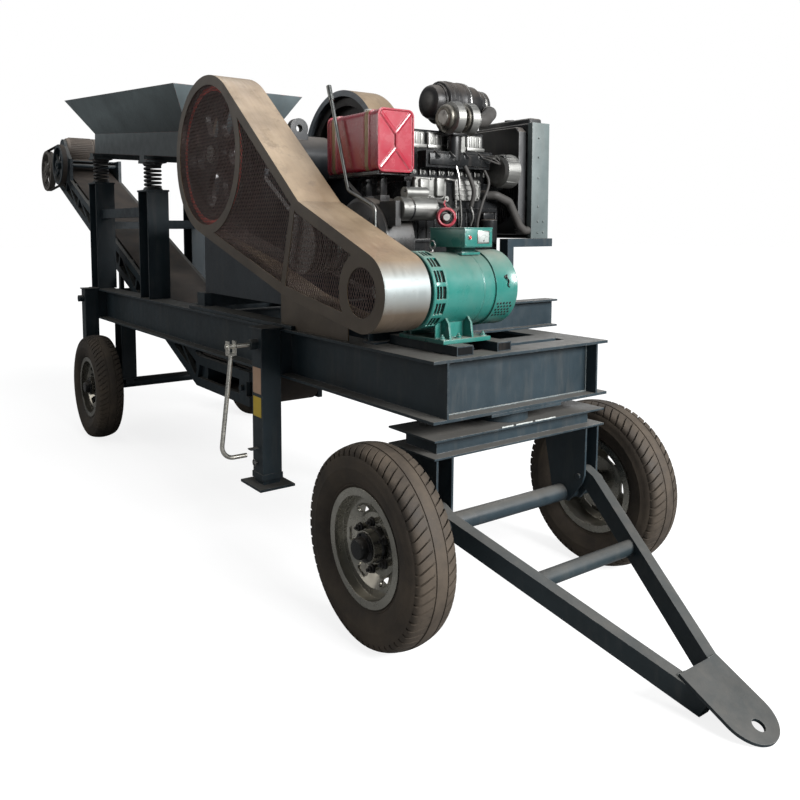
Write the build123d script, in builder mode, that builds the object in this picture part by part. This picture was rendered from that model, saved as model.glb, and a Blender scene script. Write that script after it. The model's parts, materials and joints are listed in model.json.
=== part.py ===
"""A trailer-mounted jaw crushing plant: a four-wheel drawbar chassis that carries a vibrating
hopper, a jaw crusher, a diesel engine, a generator and a discharge conveyor.

X runs forward to the drawbar, Y to the far side, Z up from the ground. Lengths are in mm.
The origin lies on the ground under the middle of the outline.
"""
import os
from math import atan2, cos, hypot, pi, radians, sin, sqrt, tan

from build123d import *

# Driving dimensions of the trailer
front_axle_x = 2719.0
wheelbase = 3700.0
tyre_radius = 388.0
tyre_width = 190.0
half_track = 644.0
axle_tube_radius = 38.0
axle_half_length = 548.0
running_gap = 0.3

# Chassis beams
beam_y = 425.0
beam_flange = 140.0
beam_height = 240.0
beam_top_z = 1094.0
flange_thickness = 12.0
web_thickness = 9.0
front_overhang = 151.0
rear_overhang = 720.0
front_web_recess = 63.0
front_beam_flange = 126.0
cross_member_depth = 160.0
cross_member_flange = 90.0

# Turntable under the front of the chassis
turntable_half_length = 147.0
turntable_half_width = 485.0
turntable_top_z = 791.5
turntable_depth = 76.0
turntable_flange = 50.0
king_pin_radius = 30.0
bolster_radius = 110.0

# Drawbar
drawbar_pin_x = 100.0
drawbar_pin_z = 488.0
drawbar_pin_y = 423.0
drawbar_pin_radius = 12.0
drawbar_slope = 25.7
drawbar_arm_height = 80.0
drawbar_arm_width = 50.0
drawbar_arm_reach = 1020.0
drawbar_tube_reach = 405.0
drawbar_tube_radius = 30.0
drawbar_tip_y = 52.0
hitch_half_width = 105.0
hitch_root_reach = 912.0
hitch_eye_reach = 1148.0
hitch_nose_setback = 45.0
hitch_thickness = 12.0
hitch_eye_radius = 22.0

# Jack legs
front_jack_x = -1092.0
rear_jack_setback = 500.0
jack_size = 105.0
jack_wall = 6.0
jack_sleeve_bottom_z = 345.0
jack_collar_height = 30.0
jack_collar_step = 4.0
jack_foot_z = 310.0
jack_foot_length = 220.0
jack_foot_width = 190.0
jack_foot_thickness = 12.0
crank_z = 1020.0
crank_plane_y = 735.0
crank_rod = 22.0
crank_splay = 62.0
crank_foot_drop = 545.0
crank_bend_radius = 60.0

# Hopper and feeder
feeder_y = -130.0
feeder_tilt = 5.0
column_rear_x = -4290.0
column_front_x = -3062.0
column_length = 190.0
column_width = 150.0
column_y = 405.0
column_front_top_z = 1838.0
spring_height = 186.0
spring_radius = 62.0
spring_wire = 18.0
spring_turns = 5
tray_half_width = 285.0
sheet = 8.0

# Crusher
crusher_y = -130.0
shaft_x = -1560.0
shaft_z = 1975.0
shaft_radius = 45.0
sheave_radius = 370.0
sheave_y = -550.0
sheave_width = 130.0
flywheel_y = 275.0
flywheel_width = 120.0
crusher_half_width = 270.0
side_plate = 28.0
crusher_rear_x = -2180.0
crusher_front_x = -1010.0

# Belt guard
guard_outer_y = -650.0
guard_depth = 215.0
guard_sheet = 4.0
guard_radius = 412.0
drum_radius = 158.0
generator_x = -100.0
generator_z = 1340.0
pulley_x = -620.0
pulley_z = 1515.0
pulley_radius = 128.0
generator_pulley_radius = 78.0

# Conveyor: a level run under the crusher, then the climb to the head drum
conveyor_tail_x = -1980.0
conveyor_bend_x = -2690.0
conveyor_head_x = -6440.0
conveyor_low_z = 615.0
conveyor_head_z = 2182.0
conveyor_half_width = 255.0
chord_height = 60.0
chord_width = 30.0
chord_w = 75.0
belt_drum_radius = 110.0
belt_half_width = 215.0
belt_thickness = 8.0
conveyor_shaft_radius = 18.0
conveyor_wheel_y = -325.0
conveyor_wheel_width = 56.0
head_wheel_radius = 204.0
drive_wheel_radius = 195.0
drive_shaft_x = -5950.0
drive_shaft_z = 2215.0
drive_motor_x = -6150.0
drive_motor_z = 2392.0
drive_motor_radius = 122.0


def place(part, name):
    """Label a finished piece and write it to its own file."""
    part.label = name
    export_step(part, f"parts/{name}.step")


def along(x):
    """X of a point given by its distance ahead of the front axle."""
    return front_axle_x + x


os.makedirs("parts", exist_ok=True)
beam_bottom_z = beam_top_z - beam_height
rear_axle_x = along(-wheelbase)
chassis_front_x = along(front_overhang)
chassis_rear_x = along(-wheelbase - rear_overhang)
chassis_length = chassis_front_x - chassis_rear_x


def i_section(height, flange, flange_t, web_t):
    """Outline of an I-beam, centred, standing up."""
    with BuildSketch() as section:
        Rectangle(flange, height)
        with Locations((-(flange + web_t) / 4, 0), ((flange + web_t) / 4, 0)):
            Rectangle((flange - web_t) / 2, height - 2 * flange_t, mode=Mode.SUBTRACT)
    return section.sketch


# Chassis: two long I-beams
with BuildPart() as chassis_beams:
    for side in (-1, 1):
        beam_plane = Plane(origin=(chassis_rear_x, side * beam_y, beam_top_z - beam_height / 2),
                           x_dir=(0, 1, 0), z_dir=(1, 0, 0))
        with BuildSketch(beam_plane):
            add(i_section(beam_height, beam_flange, flange_thickness, web_thickness))
        extrude(amount=chassis_length)
place(chassis_beams.part, "chassis_beams")

# Front beam, the bolster beam behind it and the cross members between the webs
flange_inner_y = beam_y - beam_flange / 2
web_face_y = beam_y - web_thickness / 2
front_flange_mid_x = chassis_front_x - front_beam_flange / 2
bolster_beam_x = 2 * along(0) - front_flange_mid_x
cross_xs = [chassis_rear_x + 60, along(-2740), along(crusher_rear_x), along(-1150), along(-560)]
cross_z = beam_top_z - flange_thickness - cross_member_depth / 2 - 10
cross_top_z = cross_z + cross_member_depth / 2
cross_bottom_z = cross_z - cross_member_depth / 2
with BuildPart() as cross_members:
    for beam_x, web_x in ((front_flange_mid_x, chassis_front_x - front_web_recess),
                          (bolster_beam_x, bolster_beam_x)):
        with Locations((beam_x, 0, beam_top_z - flange_thickness / 2),
                       (beam_x, 0, beam_bottom_z + flange_thickness / 2)):
            Box(front_beam_flange, 2 * flange_inner_y, flange_thickness)
        with Locations((web_x, 0, beam_top_z - beam_height / 2)):
            Box(web_thickness, 2 * web_face_y, beam_height - 2 * flange_thickness)
    for x in cross_xs:
        cross_plane = Plane(origin=(x, -web_face_y, cross_z), x_dir=(1, 0, 0), z_dir=(0, 1, 0))
        with BuildSketch(cross_plane):
            add(i_section(cross_member_depth, cross_member_flange, 8, 7))
        extrude(amount=2 * web_face_y)
place(cross_members.part, "chassis_cross_members")

# Rear axle under two posts
post_length = 160.0
post_width = 110.0
post_plate = 12.0
stub_radius = 26.0
stub_half_length = half_track + 30
post_foot_z = tyre_radius + axle_tube_radius
with BuildPart() as rear_axle:
    for side in (-1, 1):
        post_plane = Plane(origin=(rear_axle_x, side * beam_y, post_foot_z + post_plate),
                           x_dir=(0, 1, 0), z_dir=(0, 0, 1))
        with BuildSketch(post_plane):
            add(i_section(post_length, post_width, 10, 8))
        extrude(amount=beam_bottom_z - post_foot_z - post_plate)
        with Locations((rear_axle_x, side * beam_y, post_foot_z + post_plate / 2)):
            Box(post_length + 20, post_width + 10, post_plate)
        with Locations((rear_axle_x, side * beam_y, tyre_radius + axle_tube_radius / 2)):
            Box(post_length, 60, axle_tube_radius)
    for radius, half_length in ((axle_tube_radius, axle_half_length), (stub_radius, stub_half_length)):
        with BuildSketch(Plane.XZ.offset(-half_length)):
            with Locations((rear_axle_x, tyre_radius)):
                Circle(radius)
        extrude(amount=2 * half_length)
place(rear_axle.part, "rear_axle")


# Wheels: a tyre and a pressed rim with its hub, all four alike
rim_radius = 226.0
bead_radius = 203.0
bead_half_width = 65.0
rim_lip = 6.0
hub_radius = 62.0
hub_bore_radius = stub_radius + running_gap
tyre_bore_radius = bead_radius + running_gap


def wheel(side, wheel_x, tag):
    """Make one wheel's tyre and rim. Side is -1 near, 1 far."""
    mid_y = side * half_track
    # Sections are drawn with the wheel's axis along local X and the radius along local Y
    section = Plane(origin=(wheel_x, mid_y, tyre_radius), x_dir=(0, side, 0), z_dir=(-side, 0, 0))
    axis = Axis((wheel_x, mid_y, tyre_radius), (0, 1, 0))
    half = tyre_width / 2
    bead_top = rim_radius + 3
    with BuildPart() as tyre:
        with BuildSketch(section):
            with BuildLine():
                Polyline((-bead_half_width, bead_top), (-bead_half_width, tyre_bore_radius),
                         (bead_half_width, tyre_bore_radius), (bead_half_width, bead_top))
                Spline((bead_half_width, bead_top), (half, tyre_radius - 92),
                       (half - 16, tyre_radius - 18), tangents=((1, 1), (-0.5, 1)))
                ThreePointArc((half - 16, tyre_radius - 18), (0, tyre_radius),
                              (16 - half, tyre_radius - 18))
                Spline((16 - half, tyre_radius - 18), (-half, tyre_radius - 92),
                       (-bead_half_width, bead_top), tangents=((-0.5, -1), (1, -1)))
            make_face()
        revolve(axis=axis)
    place(tyre.part, f"tyre_{tag}")

    with BuildPart() as rim:
        with BuildSketch(section):
            with BuildLine():
                Polyline((-bead_half_width - rim_lip, rim_radius), (-bead_half_width, rim_radius),
                         (-bead_half_width, bead_radius), (bead_half_width, bead_radius),
                         (bead_half_width, rim_radius), (bead_half_width + rim_lip, rim_radius),
                         (bead_half_width + rim_lip, bead_radius - 8),
                         (30, bead_radius - 8), (34, bead_radius - 42), (0, 120), (0, hub_radius),
                         (58, hub_radius), (58, 40), (72, 36), (72, hub_bore_radius),
                         (-70, hub_bore_radius), (-70, 50), (-10, 58), (-10, 124),
                         (22, bead_radius - 44), (20, bead_radius - 8),
                         (-bead_half_width - rim_lip, bead_radius - 8), close=True)
            make_face()
        revolve(axis=axis)
        slot_plane = Plane(origin=(wheel_x, mid_y - side * 60, tyre_radius),
                           x_dir=(1, 0, 0), z_dir=(0, side, 0))
        with BuildSketch(slot_plane):
            with PolarLocations(140, 6):
                SlotOverall(60, 24, rotation=90)
        extrude(amount=120, mode=Mode.SUBTRACT)
        stud_plane = Plane(origin=(wheel_x, mid_y, tyre_radius), x_dir=(1, 0, 0), z_dir=(0, side, 0))
        with BuildSketch(stud_plane):
            with PolarLocations(92, 6, start_angle=30):
                RegularPolygon(13, 6)
        extrude(amount=26)
    place(rim.part, f"rim_{tag}")


wheel(-1, along(0), "front_near")
wheel(1, along(0), "front_far")
wheel(-1, rear_axle_x, "rear_near")
wheel(1, rear_axle_x, "rear_far")

# Bolster and king pin, fixed under the chassis
bolster_plate_z = beam_bottom_z - flange_thickness
turntable_bottom_z = turntable_top_z - turntable_depth
pin_collar = 20.0
with BuildPart() as king_pin:
    with Locations((along(0), 0, beam_bottom_z - flange_thickness / 2)):
        Box(2 * front_overhang, 2 * 200, flange_thickness)
    for radius, low_z, high_z in (
            (bolster_radius, turntable_top_z + running_gap, bolster_plate_z),
            (king_pin_radius, turntable_bottom_z - pin_collar, turntable_top_z + running_gap),
            (king_pin_radius + 18, turntable_bottom_z - pin_collar - running_gap,
             turntable_bottom_z - running_gap)):
        with BuildSketch(Plane.XY.offset(low_z)):
            with Locations((along(0), 0)):
                Circle(radius)
        extrude(amount=high_z - low_z)
place(king_pin.part, "king_pin")

# Turntable: channels with their flanges outward, over the front axle and its hanger plates
turntable_web = 8.0
hanger_gap = 8.0
hanger_plate = 10.0
hanger_ys = [drawbar_pin_y - drawbar_arm_width / 2 - hanger_gap - hanger_plate,
             drawbar_pin_y + drawbar_arm_width / 2 + hanger_gap]
with BuildPart() as turntable:
    for plate_z in (turntable_bottom_z, turntable_top_z - turntable_web):
        with BuildSketch(Plane.XY.offset(plate_z)):
            with Locations((along(0), 0)):
                Rectangle(2 * turntable_half_length, 2 * turntable_half_width)
                Circle(king_pin_radius + running_gap, mode=Mode.SUBTRACT)
        extrude(amount=turntable_web)
    with BuildSketch(Plane.XY.offset(turntable_bottom_z)):
        with Locations((along(0), 0)):
            Rectangle(2 * (turntable_half_length - turntable_flange),
                      2 * (turntable_half_width - turntable_flange))
            Rectangle(2 * (turntable_half_length - turntable_flange - turntable_web),
                      2 * (turntable_half_width - turntable_flange - turntable_web),
                      mode=Mode.SUBTRACT)
            Circle(king_pin_radius + 25)
            Circle(king_pin_radius + running_gap, mode=Mode.SUBTRACT)
    extrude(amount=turntable_depth)
    for radius, half_length in ((axle_tube_radius, axle_half_length), (stub_radius, stub_half_length)):
        with BuildSketch(Plane.XZ.offset(-half_length)):
            with Locations((along(0), tyre_radius)):
                Circle(radius)
        extrude(amount=2 * half_length)
    for side in (-1, 1):
        for hanger_y in hanger_ys:
            near_y = min(side * hanger_y, side * (hanger_y + hanger_plate))
            with BuildSketch(Plane.XZ.offset(-near_y - hanger_plate)):
                with BuildLine():
                    Polyline((along(-120), turntable_bottom_z), (along(135), turntable_bottom_z),
                             (along(drawbar_pin_x + 32), drawbar_pin_z + 10),
                             (along(drawbar_pin_x + 20), drawbar_pin_z - 28),
                             (along(45), tyre_radius - 30), (along(-45), tyre_radius - 30),
                             close=True)
                make_face()
            extrude(amount=hanger_plate)
        pin_far_y = side * drawbar_pin_y + drawbar_arm_width / 2 + hanger_gap + hanger_plate + 8
        with BuildSketch(Plane.XZ.offset(-pin_far_y)):
            with Locations((along(drawbar_pin_x), drawbar_pin_z)):
                Circle(drawbar_pin_radius)
        extrude(amount=drawbar_arm_width + 2 * hanger_gap + 2 * hanger_plate + 16)
place(turntable.part, "turntable_frame")

# Drawbar, drawn in its own sloping plane with local X towards the hitch
slope = radians(drawbar_slope)
drawbar_plane = Plane(origin=(along(drawbar_pin_x), 0, drawbar_pin_z),
                      x_dir=(cos(slope), 0, -sin(slope)), z_dir=(sin(slope), 0, cos(slope)))
half_arm = drawbar_arm_width / 2
arm_eye_radius = drawbar_arm_height / 2
arm_straight = arm_eye_radius + 12
with BuildPart() as drawbar:
    for side in (-1, 1):
        with BuildSketch(drawbar_plane):
            with BuildLine():
                Polyline((arm_straight, side * (drawbar_pin_y - half_arm)),
                         (drawbar_arm_reach, side * (drawbar_tip_y - half_arm)),
                         (drawbar_arm_reach, side * (drawbar_tip_y + half_arm)),
                         (arm_straight, side * (drawbar_pin_y + half_arm)), close=True)
            make_face()
        extrude(amount=drawbar_arm_height / 2, both=True)
        with BuildSketch(Plane.XZ.offset(-side * drawbar_pin_y)):
            with Locations((along(drawbar_pin_x), drawbar_pin_z)):
                SlotCenterPoint((arm_straight / 2 * cos(slope), -arm_straight / 2 * sin(slope)),
                                (arm_straight * cos(slope), -arm_straight * sin(slope)),
                                2 * arm_eye_radius)
        extrude(amount=half_arm, both=True)
        with BuildSketch(Plane.XZ.offset(-side * drawbar_pin_y)):
            with Locations((along(drawbar_pin_x), drawbar_pin_z)):
                Circle(drawbar_pin_radius + running_gap)
        extrude(amount=drawbar_arm_width, both=True, mode=Mode.SUBTRACT)
    tube_y = drawbar_pin_y - (drawbar_pin_y - drawbar_tip_y) * drawbar_tube_reach / drawbar_arm_reach
    with Locations(drawbar_plane):
        with Locations((drawbar_tube_reach, 0, 0)):
            Cylinder(drawbar_tube_radius, 2 * tube_y, rotation=(90, 0, 0))
    with BuildSketch(drawbar_plane.offset(drawbar_arm_height / 2)):
        nose_centre = hitch_eye_reach - hitch_nose_setback
        with BuildLine():
            Polyline((nose_centre, -hitch_half_width), (hitch_root_reach, -hitch_half_width),
                     (hitch_root_reach, hitch_half_width), (nose_centre, hitch_half_width))
            ThreePointArc((nose_centre, hitch_half_width), (nose_centre + hitch_half_width, 0),
                          (nose_centre, -hitch_half_width))
        make_face()
        with Locations((hitch_eye_reach, 0)):
            Circle(hitch_eye_radius, mode=Mode.SUBTRACT)
    extrude(amount=hitch_thickness)
place(drawbar.part, "drawbar_frame")

# Jack legs: four fixed sleeves, four sliding legs and two crank handles
jack_y = beam_y + beam_flange / 2 + jack_size / 2
rear_jack_x = rear_axle_x - rear_jack_setback
jack_inner = jack_size - 2 * jack_wall - 2 * running_gap
sleeve_top_z = beam_top_z
shaft_boss = 40.0
clip_reach = 46.0
clip_plate = 6.0
jack_places = [(along(front_jack_x), -1, "front_near"), (along(front_jack_x), 1, "front_far"),
               (rear_jack_x, -1, "rear_near"), (rear_jack_x, 1, "rear_far")]
with BuildPart() as jack_sleeves:
    for jack_x, side, tag in jack_places:
        with BuildSketch(Plane.XY.offset(jack_sleeve_bottom_z)):
            with Locations((jack_x, side * jack_y)):
                Rectangle(jack_size, jack_size)
                Rectangle(jack_size - 2 * jack_wall, jack_size - 2 * jack_wall, mode=Mode.SUBTRACT)
        extrude(amount=sleeve_top_z - jack_sleeve_bottom_z)
        with BuildSketch(Plane.XY.offset(jack_sleeve_bottom_z)):
            with Locations((jack_x, side * jack_y)):
                Rectangle(jack_size + 2 * jack_collar_step, jack_size + 2 * jack_collar_step)
                Rectangle(jack_size - jack_wall, jack_size - jack_wall, mode=Mode.SUBTRACT)
        extrude(amount=jack_collar_height)
        with Locations((jack_x, side * jack_y, sleeve_top_z + 4)):
            Box(jack_size + 36, jack_size + 14, 8)
        rib_mid_y = (beam_y + web_thickness / 2 + jack_y - jack_size / 2) / 2
        rib_reach = jack_y - jack_size / 2 - beam_y - web_thickness / 2
        with Locations((jack_x - 40, side * rib_mid_y, beam_top_z - beam_height / 2),
                       (jack_x + 40, side * rib_mid_y, beam_top_z - beam_height / 2)):
            Box(8, rib_reach, beam_height - 2 * flange_thickness)
        boss_y = jack_y + jack_size / 2 + shaft_boss / 2
        with Locations((jack_x, side * boss_y, crank_z)):
            Cylinder(26, shaft_boss, rotation=(90, 0, 0))
    for jack_x, side, tag in jack_places[:2]:
        clip_z = crank_z - crank_foot_drop + crank_rod
        with Locations((jack_x, side * (jack_y + jack_size / 2 + clip_reach / 2), clip_z + clip_plate / 2)):
            Box(36, clip_reach, clip_plate)
place(jack_sleeves.part, "jack_sleeves")

for jack_x, side, tag in jack_places:
    leg_top_z = sleeve_top_z - 130
    with BuildPart() as jack_leg:
        with BuildSketch(Plane.XY.offset(jack_foot_z + jack_foot_thickness)):
            with Locations((jack_x, side * jack_y)):
                Rectangle(jack_inner, jack_inner)
                Rectangle(jack_inner - 12, jack_inner - 12, mode=Mode.SUBTRACT)
        extrude(amount=leg_top_z - jack_foot_z - jack_foot_thickness)
        with Locations((jack_x, side * jack_y, jack_foot_z + jack_foot_thickness / 2)):
            Box(jack_foot_length, jack_foot_width, jack_foot_thickness)
    place(jack_leg.part, f"jack_leg_{tag}")

# Each crank hangs from a fork on the leg's cross shaft; its foot turns back towards the sleeve
fork_half_width = 21.0
fork_cheek = 7.0
fork_top = 26.0
fork_drop = 44.0
cross_shaft_radius = 11.0
for jack_x, side, tag in jack_places[:2]:
    boss_end_y = jack_y + jack_size / 2 + shaft_boss
    grip_end_y = -guard_outer_y + 12
    rod_plane = Plane(origin=(jack_x, 0, crank_z), x_dir=(0, side, 0), z_dir=(side, 0, 0))
    rod_top = (crank_plane_y, -fork_drop + fork_cheek)
    with BuildPart() as crank:
        with BuildSketch(Plane.XZ.offset(-side * (boss_end_y + running_gap))):
            with Locations((jack_x, crank_z)):
                Circle(cross_shaft_radius)
        extrude(amount=-side * (crank_plane_y + fork_half_width + 8 - boss_end_y - running_gap))
        with BuildSketch(Plane.YZ.offset(jack_x)):
            with Locations((side * crank_plane_y, crank_z + (fork_top - fork_drop) / 2)):
                Rectangle(2 * fork_half_width, fork_top + fork_drop)
            with Locations((side * crank_plane_y, crank_z + fork_top - (fork_top + fork_drop - 12) / 2)):
                Rectangle(2 * (fork_half_width - fork_cheek), fork_top + fork_drop - 12,
                          mode=Mode.SUBTRACT)
        extrude(amount=fork_half_width - 3, both=True)
        with BuildLine(rod_plane) as rod_path:
            FilletPolyline(rod_top, (crank_plane_y + crank_splay, -crank_foot_drop),
                           (grip_end_y, -crank_foot_drop), radius=crank_bend_radius)
        rod_wire = rod_path.wires()[0]
        with BuildSketch(Plane(origin=rod_wire @ 0, z_dir=rod_wire % 0)):
            Circle(crank_rod / 2)
        sweep(path=rod_wire)
    place(crank.part, f"jack_crank_{tag}")

# Hopper columns standing on the beams
tilt = radians(feeder_tilt)
column_plate = 12.0
column_web = 8.0
side_tie_z = 1700.0
side_tie_depth = 70.0
cross_tie_z = 1610.0
tie_width = 60.0
column_rear_top_z = column_front_top_z + (column_front_x - column_rear_x) * tan(tilt)
column_tops = [(along(column_front_x), column_front_top_z), (along(column_rear_x), column_rear_top_z)]
with BuildPart() as columns:
    for column_x, top_z in column_tops:
        for side in (-1, 1):
            column_plane = Plane(origin=(column_x, side * column_y, beam_top_z),
                                 x_dir=(0, 1, 0), z_dir=(0, 0, 1))
            with BuildSketch(column_plane):
                add(i_section(column_length, column_width, 10, column_web))
            extrude(amount=top_z - beam_top_z)
            with Locations((column_x, side * column_y, top_z + column_plate / 2)):
                Box(column_length + 10, column_width + 10, column_plate)
    tie_mid_x = (column_tops[0][0] + column_tops[1][0]) / 2
    with Locations((tie_mid_x, -column_y, side_tie_z), (tie_mid_x, column_y, side_tie_z)):
        Box(column_tops[0][0] - column_tops[1][0] - column_length, tie_width, side_tie_depth)
    for column_x, top_z in column_tops:
        with Locations((column_x, 0, cross_tie_z)):
            Box(tie_width, 2 * column_y - column_web, tie_width)
place(columns.part, "hopper_columns")

# Springs between the column tops and the feeder's seats
spring_mid = spring_radius - spring_wire / 2
spring_cup = 10.0
coil_height = spring_height - 2 * spring_cup
with BuildPart() as springs:
    for column_x, top_z in column_tops:
        for side in (-1, 1):
            base_z = top_z + column_plate
            for cup_z in (base_z, base_z + spring_height - spring_cup):
                with Locations((column_x, side * column_y, cup_z + spring_cup / 2)):
                    Cylinder(spring_radius + 4, spring_cup)
            with BuildLine() as coil_path:
                Helix(pitch=coil_height / spring_turns, height=coil_height, radius=spring_mid,
                      center=(column_x, side * column_y, base_z + spring_cup))
            coil_wire = coil_path.wires()[0]
            with BuildSketch(Plane(origin=coil_wire @ 0, z_dir=coil_wire % 0)):
                Circle(spring_wire / 2)
            sweep(path=coil_wire, is_frenet=True)
place(springs.part, "feeder_springs")

# Feeder tray and hopper, drawn in the feeder's tilted frame: u down the slope, w upwards
seat_plate = 12.0
seat_z = column_front_top_z + column_plate + spring_height + seat_plate
feeder_plane = Plane(origin=(along(column_front_x), feeder_y, seat_z),
                     x_dir=(cos(tilt), 0, -sin(tilt)), z_dir=(sin(tilt), 0, cos(tilt)))
seat_gap_u = (column_front_x - column_rear_x) / cos(tilt)
tray_rear_u = -1360.0
tray_front_u = 900.0
carrier_depth = 40.0
tray_side = 200.0
hopper_foot_rear_u = tray_rear_u
hopper_foot_front_u = 660.0
hopper_rim_rear_u = -1710.0
hopper_rim_front_u = 815.0
hopper_rim_half_width = 440.0
hopper_height = 270.0

tray_mid_u = (tray_rear_u + tray_front_u) / 2
tray_length = tray_front_u - tray_rear_u
with BuildPart() as tray:
    for column_x, top_z in column_tops:
        for side in (-1, 1):
            with BuildSketch(Plane.XY.offset(top_z + column_plate + spring_height)):
                with Locations((column_x, side * column_y)):
                    Rectangle(150, 150)
            extrude(amount=seat_plate + 8)
    for u in (0.0, -seat_gap_u):
        with Locations(feeder_plane):
            with Locations((u, -feeder_y, carrier_depth / 2)):
                Box(90, 2 * column_y + 150, carrier_depth)
    with BuildSketch(feeder_plane.offset(carrier_depth)):
        with Locations((tray_mid_u, 0)):
            Rectangle(tray_length, 2 * tray_half_width)
    extrude(amount=sheet)
    with BuildSketch(feeder_plane.offset(carrier_depth + sheet)):
        for side in (-1, 1):
            with Locations((tray_mid_u, side * (tray_half_width - sheet / 2))):
                Rectangle(tray_length, sheet)
        with Locations((tray_rear_u + sheet / 2, 0)):
            Rectangle(sheet, 2 * (tray_half_width - sheet))
    extrude(amount=tray_side - carrier_depth - sheet)
place(tray.part, "feeder_tray")


def hopper_outline(inset, w):
    """Rectangle of the hopper walls at height w above the seats, inset by the sheet."""
    share = (w - tray_side) / hopper_height
    rear = hopper_foot_rear_u + share * (hopper_rim_rear_u - hopper_foot_rear_u) + inset
    front = hopper_foot_front_u + share * (hopper_rim_front_u - hopper_foot_front_u) - inset
    half = tray_half_width + share * (hopper_rim_half_width - tray_half_width) - inset
    with BuildSketch(feeder_plane.offset(w)) as outline:
        with Locations(((rear + front) / 2, 0)):
            Rectangle(front - rear, 2 * half)
    return outline.sketch


hopper_foot = hopper_outline(0, tray_side)
hopper_rim = hopper_outline(0, tray_side + hopper_height)
inner_foot = hopper_outline(sheet, tray_side - 1)
inner_rim = hopper_outline(sheet, tray_side + hopper_height + 1)
with BuildPart() as hopper:
    loft(sections=[hopper_foot, hopper_rim])
    loft(sections=[inner_foot, inner_rim], mode=Mode.SUBTRACT)
place(hopper.part, "hopper")

# Crusher stand: base strips on the flanges and two cross beams
strip_height = 20.0
stand_beam_height = 80.0
stand_beam_width = 110.0
crusher_base_z = beam_top_z + strip_height + stand_beam_height
stand_xs = [along(crusher_rear_x + 20), along(crusher_front_x - 75)]
crusher_mid_x = along((crusher_rear_x + crusher_front_x) / 2)
crusher_length = crusher_front_x - crusher_rear_x
with BuildPart() as crusher_stand:
    for side in (-1, 1):
        with Locations((crusher_mid_x, side * beam_y, beam_top_z + strip_height / 2)):
            Box(crusher_length + 120, beam_flange - 20, strip_height)
    for stand_x in stand_xs:
        with Locations((stand_x, 0, beam_top_z + strip_height + stand_beam_height / 2)):
            Box(stand_beam_width, 2 * beam_y + 30, stand_beam_height)
place(crusher_stand.part, "crusher_stand")

# Crusher frame: two ribbed side plates and two end walls round the open mouth
bearing_radius = 112.0
bearing_seat_z = shaft_z - bearing_radius
mouth_top_z = 1880.0
side_outer = [crusher_y - crusher_half_width, crusher_y + crusher_half_width - side_plate]
end_wall = 45.0
front_wall_z = 1600.0
seat_half = 150.0
toggle_seat_x = -1420.0
toggle_z = 1420.0
toggle_block_height = 150.0
with BuildPart() as crusher_frame:
    for plate_y in side_outer:
        with BuildSketch(Plane.XZ.offset(-plate_y - side_plate)):
            with BuildLine():
                Polyline((along(crusher_rear_x), crusher_base_z),
                         (along(crusher_rear_x), mouth_top_z),
                         (along(shaft_x - seat_half - 60), mouth_top_z),
                         (along(shaft_x - seat_half), bearing_seat_z),
                         (along(shaft_x + seat_half), bearing_seat_z),
                         (along(crusher_front_x), front_wall_z), (along(crusher_front_x), crusher_base_z),
                         close=True)
            make_face()
        extrude(amount=side_plate)
    inner_width = 2 * (crusher_half_width - side_plate)
    with Locations((along(crusher_rear_x) + end_wall / 2, crusher_y,
                    (crusher_base_z + mouth_top_z) / 2)):
        Box(end_wall, inner_width, mouth_top_z - crusher_base_z)
    with Locations((along(crusher_front_x) - end_wall / 2, crusher_y, (crusher_base_z + front_wall_z) / 2)):
        Box(end_wall, inner_width, front_wall_z - crusher_base_z)
    with Locations((along((toggle_seat_x + crusher_front_x - end_wall) / 2), crusher_y, toggle_z)):
        Box(crusher_front_x - end_wall - toggle_seat_x, inner_width, toggle_block_height)
place(crusher_frame.part, "crusher_frame")

# Jaw plates with vertical ridges: the fixed one on the end wall, the swing one on the pitman
jaw_half_width = 205.0
jaw_bottom_z = 1290.0
fixed_jaw_x = crusher_rear_x + end_wall
jaw_thickness = 45.0
ridge_count = 8
ridge_pitch = 2 * jaw_half_width / ridge_count
ridge_height = 22.0
pitman_top = (-1800.0, 1900.0)
pitman_foot = (-1985.0, 1300.0)
jaw_lean = atan2(pitman_top[0] - pitman_foot[0], pitman_top[1] - pitman_foot[1])
swing_plane = Plane(origin=(along(pitman_foot[0]), crusher_y, pitman_foot[1]), x_dir=(0, 1, 0),
                    z_dir=(sin(jaw_lean), 0, cos(jaw_lean)))
swing_length = hypot(pitman_top[0] - pitman_foot[0], pitman_top[1] - pitman_foot[1])
with BuildPart() as jaw_plates:
    with Locations((along(fixed_jaw_x + jaw_thickness / 2), crusher_y,
                    (jaw_bottom_z + mouth_top_z - 20) / 2)):
        Box(jaw_thickness, 2 * jaw_half_width, mouth_top_z - 20 - jaw_bottom_z)
    with BuildSketch(Plane.XY.offset(jaw_bottom_z)):
        for ridge in range(ridge_count):
            ridge_y = crusher_y - jaw_half_width + (ridge + 0.5) * ridge_pitch
            with BuildLine():
                Polyline((along(fixed_jaw_x + jaw_thickness), ridge_y - ridge_pitch / 2),
                         (along(fixed_jaw_x + jaw_thickness + ridge_height), ridge_y),
                         (along(fixed_jaw_x + jaw_thickness), ridge_y + ridge_pitch / 2), close=True)
            make_face()
    extrude(amount=mouth_top_z - 20 - jaw_bottom_z)
    with BuildSketch(swing_plane):
        with Locations((0, jaw_thickness / 2)):
            Rectangle(2 * jaw_half_width, jaw_thickness)
        for ridge in range(ridge_count - 1):
            ridge_x = (ridge + 1) * ridge_pitch - jaw_half_width
            with BuildLine():
                Polyline((ridge_x - ridge_pitch / 2, jaw_thickness), (ridge_x, jaw_thickness + ridge_height),
                         (ridge_x + ridge_pitch / 2, jaw_thickness), close=True)
            make_face()
    extrude(amount=swing_length)
place(jaw_plates.part, "jaw_plates")

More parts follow.
